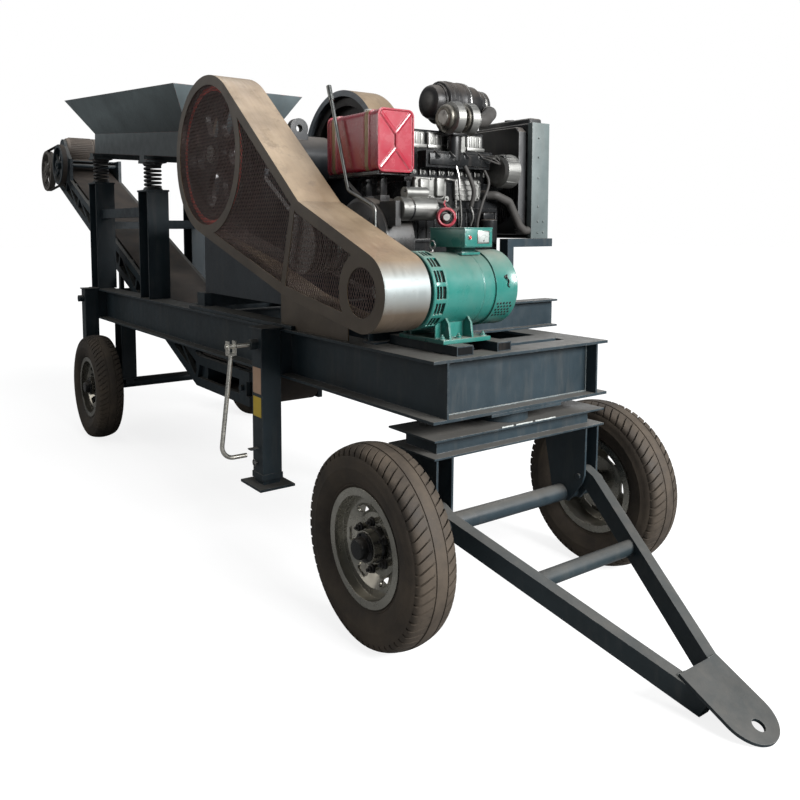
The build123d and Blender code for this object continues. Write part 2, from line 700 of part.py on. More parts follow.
# Pitman: the barrel round the eccentric shaft and the swing jaw's body
barrel_radius = 130.0
barrel_half = 195.0
lug_setback = 42.0
lug_height = 161.0
lug_radius = 56.0
lug_hole_radius = 20.0
with BuildPart() as pitman:
    with BuildSketch(Plane.XZ.offset(-crusher_y - barrel_half)):
        with Locations((along(shaft_x), shaft_z)):
            Circle(barrel_radius)
        with BuildLine():
            Polyline((along(shaft_x), shaft_z + barrel_radius), (along(pitman_top[0]), 1960),
                     (along(pitman_top[0]), pitman_top[1]), (along(pitman_foot[0]), pitman_foot[1]),
                     (along(-1860), 1290), (along(-1800), 1370), (along(-1800), 1480),
                     (along(shaft_x + 60), shaft_z - 115), close=True)
        make_face()
        with Locations((along(shaft_x), shaft_z)):
            Circle(shaft_radius + running_gap, mode=Mode.SUBTRACT)
    extrude(amount=2 * barrel_half)
    with BuildSketch(Plane.YZ.offset(along(shaft_x) + lug_setback)):
        with Locations((crusher_y, shaft_z + lug_height)):
            Circle(lug_radius)
        with Locations((crusher_y, shaft_z + lug_height - lug_radius)):
            Rectangle(2 * lug_radius, 60)
        with Locations((crusher_y, shaft_z + lug_height)):
            Circle(lug_hole_radius, mode=Mode.SUBTRACT)
    extrude(amount=40)
place(pitman.part, "pitman")

toggle_length = toggle_seat_x + 1800.0
with BuildPart() as toggle:
    with Locations((along(toggle_seat_x - toggle_length / 2), crusher_y, toggle_z)):
        Box(toggle_length, 2 * jaw_half_width - 40, 36)
place(toggle.part, "toggle_plate")

# Bearing housings on the side plates
bearing_length = 100.0
with BuildPart() as bearings:
    for plate_y in side_outer:
        housing_y = plate_y + side_plate / 2 + (-20 if plate_y < crusher_y else 20)
        with BuildSketch(Plane.XZ.offset(-housing_y - bearing_length / 2)):
            with Locations((along(shaft_x), shaft_z)):
                Circle(bearing_radius)
            with Locations((along(shaft_x), (shaft_z + bearing_seat_z) / 2)):
                Rectangle(2 * bearing_radius, shaft_z - bearing_seat_z)
            with Locations((along(shaft_x), bearing_seat_z + 18)):
                Rectangle(2 * seat_half, 36)
            with Locations((along(shaft_x), shaft_z)):
                Circle(shaft_radius + running_gap, mode=Mode.SUBTRACT)
        extrude(amount=bearing_length)
place(bearings.part, "bearing_housings")

# Eccentric shaft with the grooved sheave and the flywheel
shaft_near_y = sheave_y - sheave_width / 2 - 8
shaft_far_y = flywheel_y + flywheel_width / 2 + 20
with BuildPart() as shaft:
    with BuildSketch(Plane.XZ.offset(-shaft_near_y)):
        with Locations((along(shaft_x), shaft_z)):
            Circle(shaft_radius)
    extrude(amount=shaft_near_y - shaft_far_y)
place(shaft.part, "eccentric_shaft")

belt_pitch = 22.0
belt_top = 17.0
belt_height = 12.0
belt_sink = 3.0
crusher_belt_ys = [sheave_y - 8 + (k - 2) * belt_pitch for k in range(5)]
generator_belt_ys = [sheave_y + 74, sheave_y + 74 + belt_pitch]


def grooved_rim(centre_y, width, outer, inner, belt_ys):
    """Rim section of a V-belt wheel: local X along the axle, local Y the radius."""
    with BuildSketch() as rim_section:
        with Locations((centre_y, (outer + inner) / 2)):
            Rectangle(width, outer - inner)
        for belt_y in belt_ys:
            with Locations((belt_y, outer - (belt_height + belt_sink + 3) / 2)):
                Rectangle(belt_top + 2 * running_gap, belt_height + belt_sink + 3, mode=Mode.SUBTRACT)
    return rim_section.sketch


def wheel_plane(x, z):
    """Half plane through a cross shaft: local X runs along +Y, local Y is the radius, up."""
    return Plane(origin=(x, 0, z), x_dir=(0, 1, 0), z_dir=(1, 0, 0))


spoke_count = 6
for wheel_y, width, name, belt_ys in ((sheave_y, sheave_width, "crusher_sheave", crusher_belt_ys),
                                      (flywheel_y, flywheel_width, "crusher_flywheel", [])):
    rim_inner = sheave_radius - 48
    hub = 92.0
    with BuildPart() as big_wheel:
        with BuildSketch(wheel_plane(along(shaft_x), shaft_z)):
            add(grooved_rim(wheel_y, width, sheave_radius, rim_inner, belt_ys))
            with Locations((wheel_y, (rim_inner + hub) / 2)):
                Rectangle(30, rim_inner - hub)
            with Locations((wheel_y, (hub + shaft_radius) / 2)):
                Rectangle(width, hub - shaft_radius)
        revolve(axis=Axis((along(shaft_x), 0, shaft_z), (0, 1, 0)))
        with BuildSketch(Plane.XZ.offset(-wheel_y - width / 2)):
            with Locations((along(shaft_x), shaft_z)):
                with PolarLocations((rim_inner + hub) / 2, spoke_count):
                    SlotOverall(rim_inner - hub - 30, 130)
        extrude(amount=width, mode=Mode.SUBTRACT)
    place(big_wheel.part, name)

# Engine pulley on the clutch shaft and the generator's pulley
pulley_width = 184.0
pulley_mid_y = sheave_y + 22
with BuildPart() as engine_pulley:
    with BuildSketch(wheel_plane(along(pulley_x), pulley_z)):
        add(grooved_rim(pulley_mid_y, pulley_width, pulley_radius, 0,
                        crusher_belt_ys + generator_belt_ys))
        with Locations((-370, 17)):
            Rectangle(160, 34)
    revolve(axis=Axis((along(pulley_x), 0, pulley_z), (0, 1, 0)))
place(engine_pulley.part, "engine_pulley")

with BuildPart() as generator_pulley:
    with BuildSketch(wheel_plane(along(generator_x), generator_z)):
        add(grooved_rim(sheave_y + 85, 64, generator_pulley_radius, 0, generator_belt_ys))
        with Locations((sheave_y + 10, 12)):
            Rectangle(86, 24)
        with Locations((sheave_y + 138.5, 12)):
            Rectangle(43, 24)
    revolve(axis=Axis((along(generator_x), 0, generator_z), (0, 1, 0)))
place(generator_pulley.part, "generator_pulley")


def tangent_angle(ca, ra, cb, rb, upper):
    """Angle of the normal of the outer tangent of two circles, for the upper or lower side."""
    gap = hypot(cb[0] - ca[0], cb[1] - ca[1])
    base = atan2(cb[1] - ca[1], cb[0] - ca[0])
    swing = pi / 2 - asin_safe((ra - rb) / gap)
    return base + swing if upper else base - swing


def asin_safe(share):
    """Arc sine by atan2."""
    return atan2(share, sqrt(1 - share * share))


def loop_face(ca, ra, cb, rb):
    """Face of a taut belt round two wheels, drawn in the XZ plane."""
    up = tangent_angle(ca, ra, cb, rb, True)
    down = tangent_angle(ca, ra, cb, rb, False)
    base = atan2(cb[1] - ca[1], cb[0] - ca[0])
    a_up = (ca[0] + ra * cos(up), ca[1] + ra * sin(up))
    a_down = (ca[0] + ra * cos(down), ca[1] + ra * sin(down))
    a_back = (ca[0] - ra * cos(base), ca[1] - ra * sin(base))
    b_up = (cb[0] + rb * cos(up), cb[1] + rb * sin(up))
    b_down = (cb[0] + rb * cos(down), cb[1] + rb * sin(down))
    b_back = (cb[0] + rb * cos(base), cb[1] + rb * sin(base))
    with BuildSketch() as face:
        with BuildLine():
            ThreePointArc(a_up, a_back, a_down)
            Line(a_down, b_down)
            ThreePointArc(b_down, b_back, b_up)
            Line(b_up, a_up)
        make_face()
    return face.sketch


crusher_centre = (along(shaft_x), shaft_z)
pulley_centre = (along(pulley_x), pulley_z)
generator_centre = (along(generator_x), generator_z)


with BuildPart() as drive_belts:
    for ca, ra, cb, rb, belt_ys in (
            (crusher_centre, sheave_radius, pulley_centre, pulley_radius, crusher_belt_ys),
            (pulley_centre, pulley_radius, generator_centre, generator_pulley_radius,
             generator_belt_ys)):
        for belt_y in belt_ys:
            with BuildSketch(Plane.XZ.offset(-belt_y - belt_top / 2)):
                add(loop_face(ca, ra - belt_sink, cb, rb - belt_sink))
                add(loop_face(ca, ra - belt_sink - belt_height, cb, rb - belt_sink - belt_height),
                    mode=Mode.SUBTRACT)
            extrude(amount=belt_top)
place(drive_belts.part, "drive_belts")

# Belt guard: a tapered outline round both pulleys, closed on the near side
guard_big = (along(shaft_x + 5), shaft_z - 10)
guard_drum = (along(generator_x), generator_z)
guard_knee = (along(-580), 1702.0)
guard_corner = (along(-700), 1282.0)


def tangent_point(centre, radius, point, side):
    """Point where the line from an outside point touches a circle."""
    reach = hypot(point[0] - centre[0], point[1] - centre[1])
    base = atan2(point[1] - centre[1], point[0] - centre[0])
    swing = atan2(sqrt(reach * reach - radius * radius), radius)
    angle = base + side * swing
    return (centre[0] + radius * cos(angle), centre[1] + radius * sin(angle))


def guard_outline(inset):
    """Guard outline in the XZ plane, drawn inside the sheet by the given inset."""
    big_radius = guard_radius - inset
    small_radius = drum_radius - inset
    knee = (guard_knee[0] - 0.35 * inset, guard_knee[1] - inset)
    corner = (guard_corner[0], guard_corner[1] + inset)
    top = tangent_point(guard_big, big_radius, knee, 1)
    bottom = tangent_point(guard_big, big_radius, corner, -1)
    drum_top = tangent_point(guard_drum, small_radius, knee, -1)
    drum_bottom = tangent_point(guard_drum, small_radius, corner, 1)
    with BuildSketch() as outline:
        with BuildLine():
            ThreePointArc(top, (guard_big[0] - big_radius, guard_big[1]), bottom)
            Polyline(bottom, corner, drum_bottom)
            ThreePointArc(drum_bottom, (guard_drum[0] + small_radius, guard_drum[1]), drum_top)
            Polyline(drum_top, knee, top)
        make_face()
    return outline.sketch


guard_inner_y = guard_outer_y + guard_depth
drum_foot = tangent_point(guard_drum, drum_radius, guard_corner, 1)
stand_left_x = along(-1090)
stand_right_x = along(-480)
stand_y = -beam_y - 32
stand_plate = 6.0
stand_share = (stand_right_x - guard_corner[0]) / (drum_foot[0] - guard_corner[0])
stand_right_z = guard_corner[1] + stand_share * (drum_foot[1] - guard_corner[1])
face_band = 50.0
big_hole = guard_radius - face_band
drum_hole = 98.0
bar_top = (along(-596), 1680.0)
bar_foot = (along(-745), 1390.0)
with BuildPart() as guard_rim:
    with BuildSketch(Plane.XZ.offset(-guard_inner_y)):
        add(guard_outline(0))
        add(guard_outline(guard_sheet), mode=Mode.SUBTRACT)
    extrude(amount=guard_depth - guard_sheet)
    with BuildSketch(Plane.XZ.offset(-stand_y)):
        with BuildLine():
            Polyline((stand_left_x, beam_top_z + strip_height), (stand_left_x, beam_top_z + 175),
                     (guard_corner[0], guard_corner[1] + guard_sheet / 2),
                     (stand_right_x, stand_right_z + guard_sheet / 2), (stand_right_x, beam_top_z),
                     (along(-945), beam_top_z), (along(-945), beam_top_z + strip_height), close=True)
        make_face()
    extrude(amount=stand_plate)
place(guard_rim.part, "belt_guard_rim")

with BuildPart() as guard_face:
    with BuildSketch(Plane.XZ.offset(-guard_outer_y - guard_sheet)):
        add(guard_outline(0))
        with BuildSketch(mode=Mode.SUBTRACT):
            add(guard_outline(face_band))
            with Locations(guard_big):
                Circle(guard_radius, mode=Mode.SUBTRACT)
            with Locations(guard_drum):
                Circle(drum_radius, mode=Mode.SUBTRACT)
            with BuildLine():
                Polyline((bar_top[0] - 30, bar_top[1] + 80), (bar_top[0] + 10, bar_top[1] + 80),
                         (bar_foot[0] + 20, bar_foot[1] - 140), (bar_foot[0] - 20, bar_foot[1] - 140),
                         close=True)
            make_face(mode=Mode.SUBTRACT)
        with Locations(guard_big):
            Circle(big_hole, mode=Mode.SUBTRACT)
        with Locations(guard_drum):
            Circle(drum_hole, mode=Mode.SUBTRACT)
    extrude(amount=guard_sheet)
place(guard_face.part, "belt_guard_face")

# Mesh behind the openings of the guard's face: crossed bars inside a border
mesh_thickness = 3.0
mesh_bar = 7.0
mesh_pitch = 150.0
mesh_span = 3000.0
mesh_mid = (along(-850), 1650.0)
bar_count = 17
with BuildPart() as guard_mesh:
    with BuildSketch(Plane.XZ.offset(-guard_outer_y - guard_sheet - mesh_thickness)):
        for k in range(bar_count):
            shift = (k - (bar_count - 1) / 2) * mesh_pitch
            for lean in (38, -38):
                with Locations((mesh_mid[0] + shift, mesh_mid[1])):
                    Rectangle(mesh_span, mesh_bar, rotation=lean)
        add(guard_outline(guard_sheet + 2), mode=Mode.INTERSECT)
        with BuildSketch(mode=Mode.PRIVATE) as border:
            add(guard_outline(guard_sheet + 2))
            add(guard_outline(guard_sheet + 14), mode=Mode.SUBTRACT)
        add(border.sketch)
        with Locations(guard_drum):
            Circle(drum_radius - guard_sheet - 2)
            Circle(drum_hole + 6, mode=Mode.SUBTRACT)
    extrude(amount=mesh_thickness)
place(guard_mesh.part, "belt_guard_mesh")

# Half-round guard over the far flywheel
far_inner_y = 180.0
far_outer_y = 368.0
far_radius = 408.0
far_lip = 34.0
with BuildPart() as far_guard:
    for guard_y, depth, inner in ((far_inner_y, guard_sheet, far_radius - far_lip),
                                  (far_inner_y, far_outer_y - far_inner_y, far_radius - guard_sheet),
                                  (far_outer_y - guard_sheet, guard_sheet, 0)):
        with BuildSketch(Plane.XZ.offset(-guard_y - depth)):
            with Locations((along(shaft_x), shaft_z)):
                Circle(far_radius)
            with Locations((along(shaft_x), shaft_z - far_radius / 2)):
                Rectangle(2 * far_radius, far_radius)
            if inner:
                with Locations((along(shaft_x), shaft_z)):
                    Circle(inner, mode=Mode.SUBTRACT)
                with Locations((along(shaft_x), shaft_z - far_radius / 2)):
                    Rectangle(2 * inner, far_radius, mode=Mode.SUBTRACT)
        extrude(amount=depth)
    for leg_x in (along(shaft_x) - far_radius + 20, along(shaft_x) + far_radius - 20):
        foot_z = beam_top_z + strip_height
        with Locations((leg_x, far_outer_y + 4, (shaft_z - 200 + foot_z) / 2)):
            Box(40, 8, shaft_z - 200 - foot_z)
place(far_guard.part, "flywheel_guard")

# Engine sub-frame with the generator's rails and the radiator's posts
subframe_depth = 136.0
subframe_width = 80.0
subframe_near_y = -430.0
subframe_far_y = 700.0
subframe_xs = [along(-370), along(-885)]
subframe_top_z = beam_top_z + subframe_depth
rail_front_x = along(110)
rail_height = 38.0
rail_rear_x = subframe_xs[0] + subframe_width / 2
rail_ys = [(-347.0, -263.0), (-134.0, -58.0)]
radiator_bottom_z = 1535.0
radiator_far_y = 695.0
radiator_post_xs = [along(-395), along(-860)]
radiator_post_y = 405.0
post_width_x = 56.0
with BuildPart() as subframe:
    for beam_x in subframe_xs:
        sub_plane = Plane(origin=(beam_x, subframe_near_y, beam_top_z + subframe_depth / 2),
                          x_dir=(1, 0, 0), z_dir=(0, 1, 0))
        with BuildSketch(sub_plane):
            add(i_section(subframe_depth, subframe_width, 9, 7))
        extrude(amount=subframe_far_y - subframe_near_y)
    for near, far in rail_ys:
        with Locations(((rail_front_x + rail_rear_x) / 2, (near + far) / 2,
                        beam_top_z + rail_height / 2)):
            Box(rail_front_x - rail_rear_x, far - near, rail_height)
    for post_x in radiator_post_xs:
        with Locations((post_x, radiator_post_y, (subframe_top_z + radiator_bottom_z) / 2)):
            Box(post_width_x, 40, radiator_bottom_z - subframe_top_z)
        with Locations((post_x, (radiator_post_y + radiator_far_y) / 2, radiator_bottom_z - 20)):
            Box(post_width_x, radiator_far_y - radiator_post_y, 40)
place(subframe.part, "engine_subframe")

# Engine: block, sump, head, valve cover, exhaust manifold, water pump and hose neck
engine_x = along(pulley_x)
block_near_y = -150.0
block_far_y = 410.0
block_half = 150.0
block_bottom_z = 1400.0
block_top_z = 1800.0
sump_bottom_z = 1262.0
head_half = 120.0
head_top_z = 1955.0
valve_cover_top_z = 2045.0
manifold_bottom_z = 1865.0
manifold_top_z = 1940.0
manifold_depth = 62.0
foot_reach = 110.0
foot_top_z = 1460.0
fan_z = 1770.0
pump_radius = 40.0
pump_far_y = 435.0
block_mid_y = (block_near_y + block_far_y) / 2
block_length = block_far_y - block_near_y
hose_start = Vector(along(-452), 328, 1745)
neck_length = 54.0
with BuildPart() as engine_block:
    with Locations((engine_x, block_mid_y, (block_bottom_z + block_top_z) / 2)):
        Box(2 * block_half, block_length, block_top_z - block_bottom_z)
    with Locations((engine_x, block_mid_y, (block_top_z + head_top_z) / 2)):
        Box(2 * head_half, block_length - 20, head_top_z - block_top_z)
    with Locations((engine_x, block_mid_y, (block_bottom_z + sump_bottom_z) / 2)):
        Box(2 * block_half - 60, block_length - 40, block_bottom_z - sump_bottom_z)
    with Locations((engine_x, block_mid_y, (head_top_z + valve_cover_top_z) / 2)):
        Box(170, block_length - 80, valve_cover_top_z - head_top_z)
    with Locations((engine_x + head_half + manifold_depth / 2, 130,
                    (manifold_bottom_z + manifold_top_z) / 2)):
        Box(manifold_depth, 390, manifold_top_z - manifold_bottom_z)
    for side in (-1, 1):
        for mount_y in (block_near_y + 90, block_far_y - 90):
            with Locations((engine_x + side * (block_half + foot_reach / 2), mount_y,
                            (subframe_top_z + foot_top_z) / 2)):
                Box(foot_reach, 70, foot_top_z - subframe_top_z)
    with Locations((engine_x, (block_far_y - 20 + pump_far_y) / 2, fan_z)):
        Cylinder(pump_radius, pump_far_y - block_far_y + 20, rotation=(90, 0, 0))
    with BuildSketch(Plane(origin=hose_start, z_dir=(1, 1, 0))):
        Circle(24)
    extrude(amount=-neck_length)
place(engine_block.part, "engine_block")

# Clutch housing round the shaft between the pulley and the block
housing_near_y = -425.0
starter_near_y = -262.0
tank_leg_y = -225.0
tank_pad_z = 1735.0
with BuildPart() as clutch_housing:
    with BuildSketch(wheel_plane(engine_x, pulley_z)):
        with BuildLine():
            Polyline((housing_near_y, 34 + running_gap), (housing_near_y, 72), (-360, 78),
                     (-350, 125), (-320, 190), (-300, 212), (block_near_y, 212),
                     (block_near_y, 34 + running_gap), close=True)
        make_face()
    revolve(axis=Axis((engine_x, 0, pulley_z), (0, 1, 0)))
    with Locations((along(-390), -310, pulley_z)):
        Box(70, 20, 60)
    with Locations((along(-370), -350, pulley_z)):
        Cylinder(26, 60, rotation=(90, 0, 0))
    with Locations((along(-425), (starter_near_y - 28 + starter_near_y) / 2, 1650)):
        Box(120, 28, 110)
    with Locations((engine_x - 60, tank_leg_y, tank_pad_z - 30), (engine_x + 60, tank_leg_y, tank_pad_z - 30)):
        Box(50, 50, 60)
place(clutch_housing.part, "clutch_housing")

# Clutch lever
lever_y = -395.0
lever_radius = 8.0
lever_foot_x = along(-370)
lever_knee_z = 1677.0
lever_bend = (along(-577), 1753.0)
grip_start = (along(-715), 2165.0)
with BuildPart() as lever:
    lever_points = [(lever_foot_x, pulley_z), (lever_foot_x, lever_knee_z), lever_bend, grip_start]
    with BuildLine():
        FilletPolyline(*[(x, lever_y, z) for x, z in lever_points], radius=30)
    with BuildSketch(Plane(origin=(lever_foot_x, lever_y, pulley_z), z_dir=(0, 0, 1))):
        Circle(lever_radius)
    sweep()
    grip_dir = (grip_start[0] - lever_bend[0], 0, grip_start[1] - lever_bend[1])
    with BuildSketch(Plane(origin=(grip_start[0], lever_y, grip_start[1]), z_dir=grip_dir)):
        Circle(12)
    extrude(amount=72)
    with Locations((lever_foot_x, lever_y + 4 - running_gap, pulley_z)):
        Cylinder(22, 22, rotation=(90, 0, 0))
place(lever.part, "clutch_lever")

# Starter, alternator and turbocharger
starter_x = along(-388)
starter_z = 1672.0
starter_length = 190.0
alternator_x = along(-410)
alternator_z = 1860.0
turbo_x = along(-450)
turbo_z = 2095.0
with BuildPart() as accessories:
    with Locations((starter_x, starter_near_y + starter_length / 2, starter_z)):
        Cylinder(52, starter_length, rotation=(90, 0, 0))
    with Locations((starter_x, starter_near_y + starter_length / 2, starter_z + 70)):
        Cylinder(26, 120, rotation=(90, 0, 0))
    with BuildSketch(wheel_plane(alternator_x, alternator_z)):
        with BuildLine():
            Polyline((345, 0), (345, 60), (355, 78), (430, 82), (440, 60), (446, 60), (446, 34),
                     (466, 34), (466, 0), close=True)
        make_face()
    revolve(axis=Axis((alternator_x, 0, alternator_z), (0, 1, 0)))
    with Locations((engine_x + head_half + 15, 378, alternator_z)):
        Box(30, 26, 40)
    with BuildSketch(wheel_plane(turbo_x, turbo_z)):
        with BuildLine():
            Polyline((40, 0), (40, 34), (70, 40), (80, 74), (120, 78), (126, 40), (160, 40),
                     (166, 74), (206, 78), (216, 44), (240, 40), (240, 0), close=True)
        make_face()
    revolve(axis=Axis((turbo_x, 0, turbo_z), (0, 1, 0)))
    with Locations((turbo_x - 18, 143, (manifold_top_z + turbo_z - 20) / 2)):
        Box(50, 60, turbo_z - 20 - manifold_top_z)
place(accessories.part, "engine_accessories")

# Air filter across the top of the engine
filter_x = engine_x - 20
filter_z = 2196.0
with BuildPart() as air_filter:
    with BuildSketch(wheel_plane(filter_x, filter_z)):
        with BuildLine():
            Polyline((60, 0), (60, 70), (80, 98), (160, 98), (160, 106), (320, 106), (320, 98),
                     (430, 98), (450, 84), (500, 84), (500, 0), close=True)
        make_face()
    revolve(axis=Axis((filter_x, 0, filter_z), (0, 1, 0)))
    for strap_y in (150, 340):
        with Locations((filter_x, strap_y, (valve_cover_top_z + filter_z - 90) / 2)):
            Box(50, 30, filter_z - 90 - valve_cover_top_z)
place(air_filter.part, "air_filter")

# Radiator with its shroud, the fan and the lower hose
radiator_x = along(-620)
radiator_half = 222.0
radiator_near_y = 575.0
radiator_top_z = 2090.0
radiator_mid_y = (radiator_near_y + radiator_far_y) / 2
fan_radius = 160.0
shroud_half = 176.0
shroud_near_y = 530.0
with BuildPart() as radiator:
    with Locations((radiator_x, radiator_mid_y, (radiator_bottom_z + radiator_top_z) / 2)):
        Box(2 * radiator_half, radiator_far_y - radiator_near_y, radiator_top_z - radiator_bottom_z)
    with Locations((radiator_x, radiator_mid_y, radiator_top_z + 18)):
        Box(2 * radiator_half - 60, 90, 36)
    with Locations((radiator_x, radiator_mid_y, radiator_top_z + 46)):
        Cylinder(26, 20)
    with BuildSketch(Plane.XZ.offset(-shroud_near_y)):
        with Locations((radiator_x, (radiator_bottom_z + radiator_top_z) / 2)):
            Rectangle(2 * shroud_half, radiator_top_z - radiator_bottom_z - 40)
        with Locations((radiator_x, fan_z)):
            Circle(fan_radius + 10, mode=Mode.SUBTRACT)
    extrude(amount=shroud_near_y - radiator_near_y)
place(radiator.part, "radiator")

fan_plane = Plane(origin=(radiator_x, 515, fan_z), x_dir=(1, 0, 0), z_dir=(0, -1, 0))
fan_hub_length = 90.0
with BuildPart() as fan:
    with Locations((radiator_x, pump_far_y + running_gap + fan_hub_length / 2, fan_z)):
        Cylinder(45, fan_hub_length, rotation=(90, 0, 0))
    with Locations(fan_plane):
        with PolarLocations(fan_radius / 2 + 20, 6):
            Box(fan_radius - 40, 62, 5, rotation=(25, 0, 0))
place(fan.part, "cooling_fan")

hose_x = along(-419)
with BuildPart() as lower_hose:
    with BuildLine():
        FilletPolyline(hose_start, (along(-424), 356, 1745), (hose_x, 440, 1715),
                       (hose_x, 512, 1600), (hose_x, 545, 1575), (hose_x, radiator_near_y, 1575),
                       radius=25)
    with BuildSketch(Plane(origin=hose_start, z_dir=(1, 1, 0))):
        Circle(20)
    sweep()
place(lower_hose.part, "radiator_hose")

# Fuel tank on its bracket
tank_near_y = -370.0
tank_far_y = -175.0
tank_rear_x = along(-795)
tank_front_x = along(-383)
tank_bottom_z = 1828.0
tank_top_z = 2100.0
tank_cap_x = -590.0
with BuildPart() as tank:
    with Locations(((tank_rear_x + tank_front_x) / 2, (tank_near_y + tank_far_y) / 2,
                    (tank_bottom_z + tank_top_z) / 2)):
        Box(tank_front_x - tank_rear_x, tank_far_y - tank_near_y, tank_top_z - tank_bottom_z)
    fillet(tank.edges().filter_by(Axis.X), 22)
    with Locations((along(tank_cap_x), (tank_near_y + tank_far_y) / 2, tank_top_z + 10)):
        Cylinder(24, 20)
    with Locations(((tank_rear_x + tank_front_x) / 2, (tank_near_y + tank_far_y) / 2,
                    tank_bottom_z - 6)):
        Box(tank_front_x - tank_rear_x - 10, tank_far_y - tank_near_y - 10, 12)
    for leg_x in (engine_x - 60, engine_x + 60):
        with Locations((leg_x, tank_leg_y, (tank_pad_z + tank_bottom_z - 12) / 2)):
            Box(40, 40, tank_bottom_z - 12 - tank_pad_z)
place(tank.part, "fuel_tank")

# Generator
generator_axis_x = along(generator_x)
generator_near_y = -418.0
generator_far_y = 110.0
generator_radius = 155.0
feet_z = beam_top_z + rail_height
box_near_y = -235.0
box_far_y = -80.0
box_bottom_z = 1508.0
with BuildPart() as generator:
    with BuildSketch(wheel_plane(generator_axis_x, generator_z)):
        with BuildLine():
            Polyline((generator_near_y, 24 + running_gap), (generator_near_y, 146), (-408, generator_radius),
                     (-355, generator_radius), (-350, 146), (20, 146), (25, generator_radius),
                     (60, generator_radius), (90, 130), (generator_far_y, 96), (generator_far_y, 0),
                     (-380, 0), (-380, 24 + running_gap), close=True)
        make_face()
    revolve(axis=Axis((generator_axis_x, 0, generator_z), (0, 1, 0)))
    with Locations((generator_axis_x, -235, feet_z + 9)):
        Box(280, 250, 18)
    with Locations((generator_axis_x - 95, -235, feet_z + 60), (generator_axis_x + 95, -235, feet_z + 60)):
        Box(14, 250, 90)
    with Locations((generator_axis_x + 10, (box_near_y + box_far_y) / 2, box_bottom_z + 41)):
        Box(220, box_far_y - box_near_y, 82)
    with Locations((generator_axis_x + 10, (box_near_y + box_far_y) / 2, (box_bottom_z + 1470) / 2)):
        Box(120, 90, box_bottom_z - 1470)
place(generator.part, "generator")

# Conveyor: lines parallel to the belt run level from the tail to the bend, then climb
tail_centre = (along(conveyor_tail_x), conveyor_low_z)
bend_centre = (along(conveyor_bend_x), conveyor_low_z)
head_centre = (along(conveyor_head_x), conveyor_head_z)
climb = atan2(head_centre[1] - bend_centre[1], bend_centre[0] - head_centre[0])
climb_run = hypot(bend_centre[0] - head_centre[0], head_centre[1] - bend_centre[1])
truss_end = 90.0


def conveyor_line(w):
    """Tail end, bend and head end of the line at height w above the belt's centreline."""
    tail = (tail_centre[0] + truss_end, tail_centre[1] + w)
    bend = (bend_centre[0] + w * tan(climb / 2), bend_centre[1] + w)
    head = (head_centre[0] - truss_end * cos(climb) + w * sin(climb),
            head_centre[1] + truss_end * sin(climb) + w * cos(climb))
    return [tail, bend, head]


def on_climb(u, w):
    """Point at distance u up the climb from the bend, w above the belt's centreline."""
    return (bend_centre[0] - u * cos(climb) + w * sin(climb),
            bend_centre[1] + u * sin(climb) + w * cos(climb))


def bar_face(a, b, width):
    """Straight bar between two points of the XZ plane."""
    reach = hypot(b[0] - a[0], b[1] - a[1])
    off_x = (a[1] - b[1]) / reach * width / 2
    off_z = (b[0] - a[0]) / reach * width / 2
    with BuildSketch() as face:
        with BuildLine():
            Polyline((a[0] + off_x, a[1] + off_z), (b[0] + off_x, b[1] + off_z),
                     (b[0] - off_x, b[1] - off_z), (a[0] - off_x, a[1] - off_z), close=True)
        make_face()
    return face.sketch


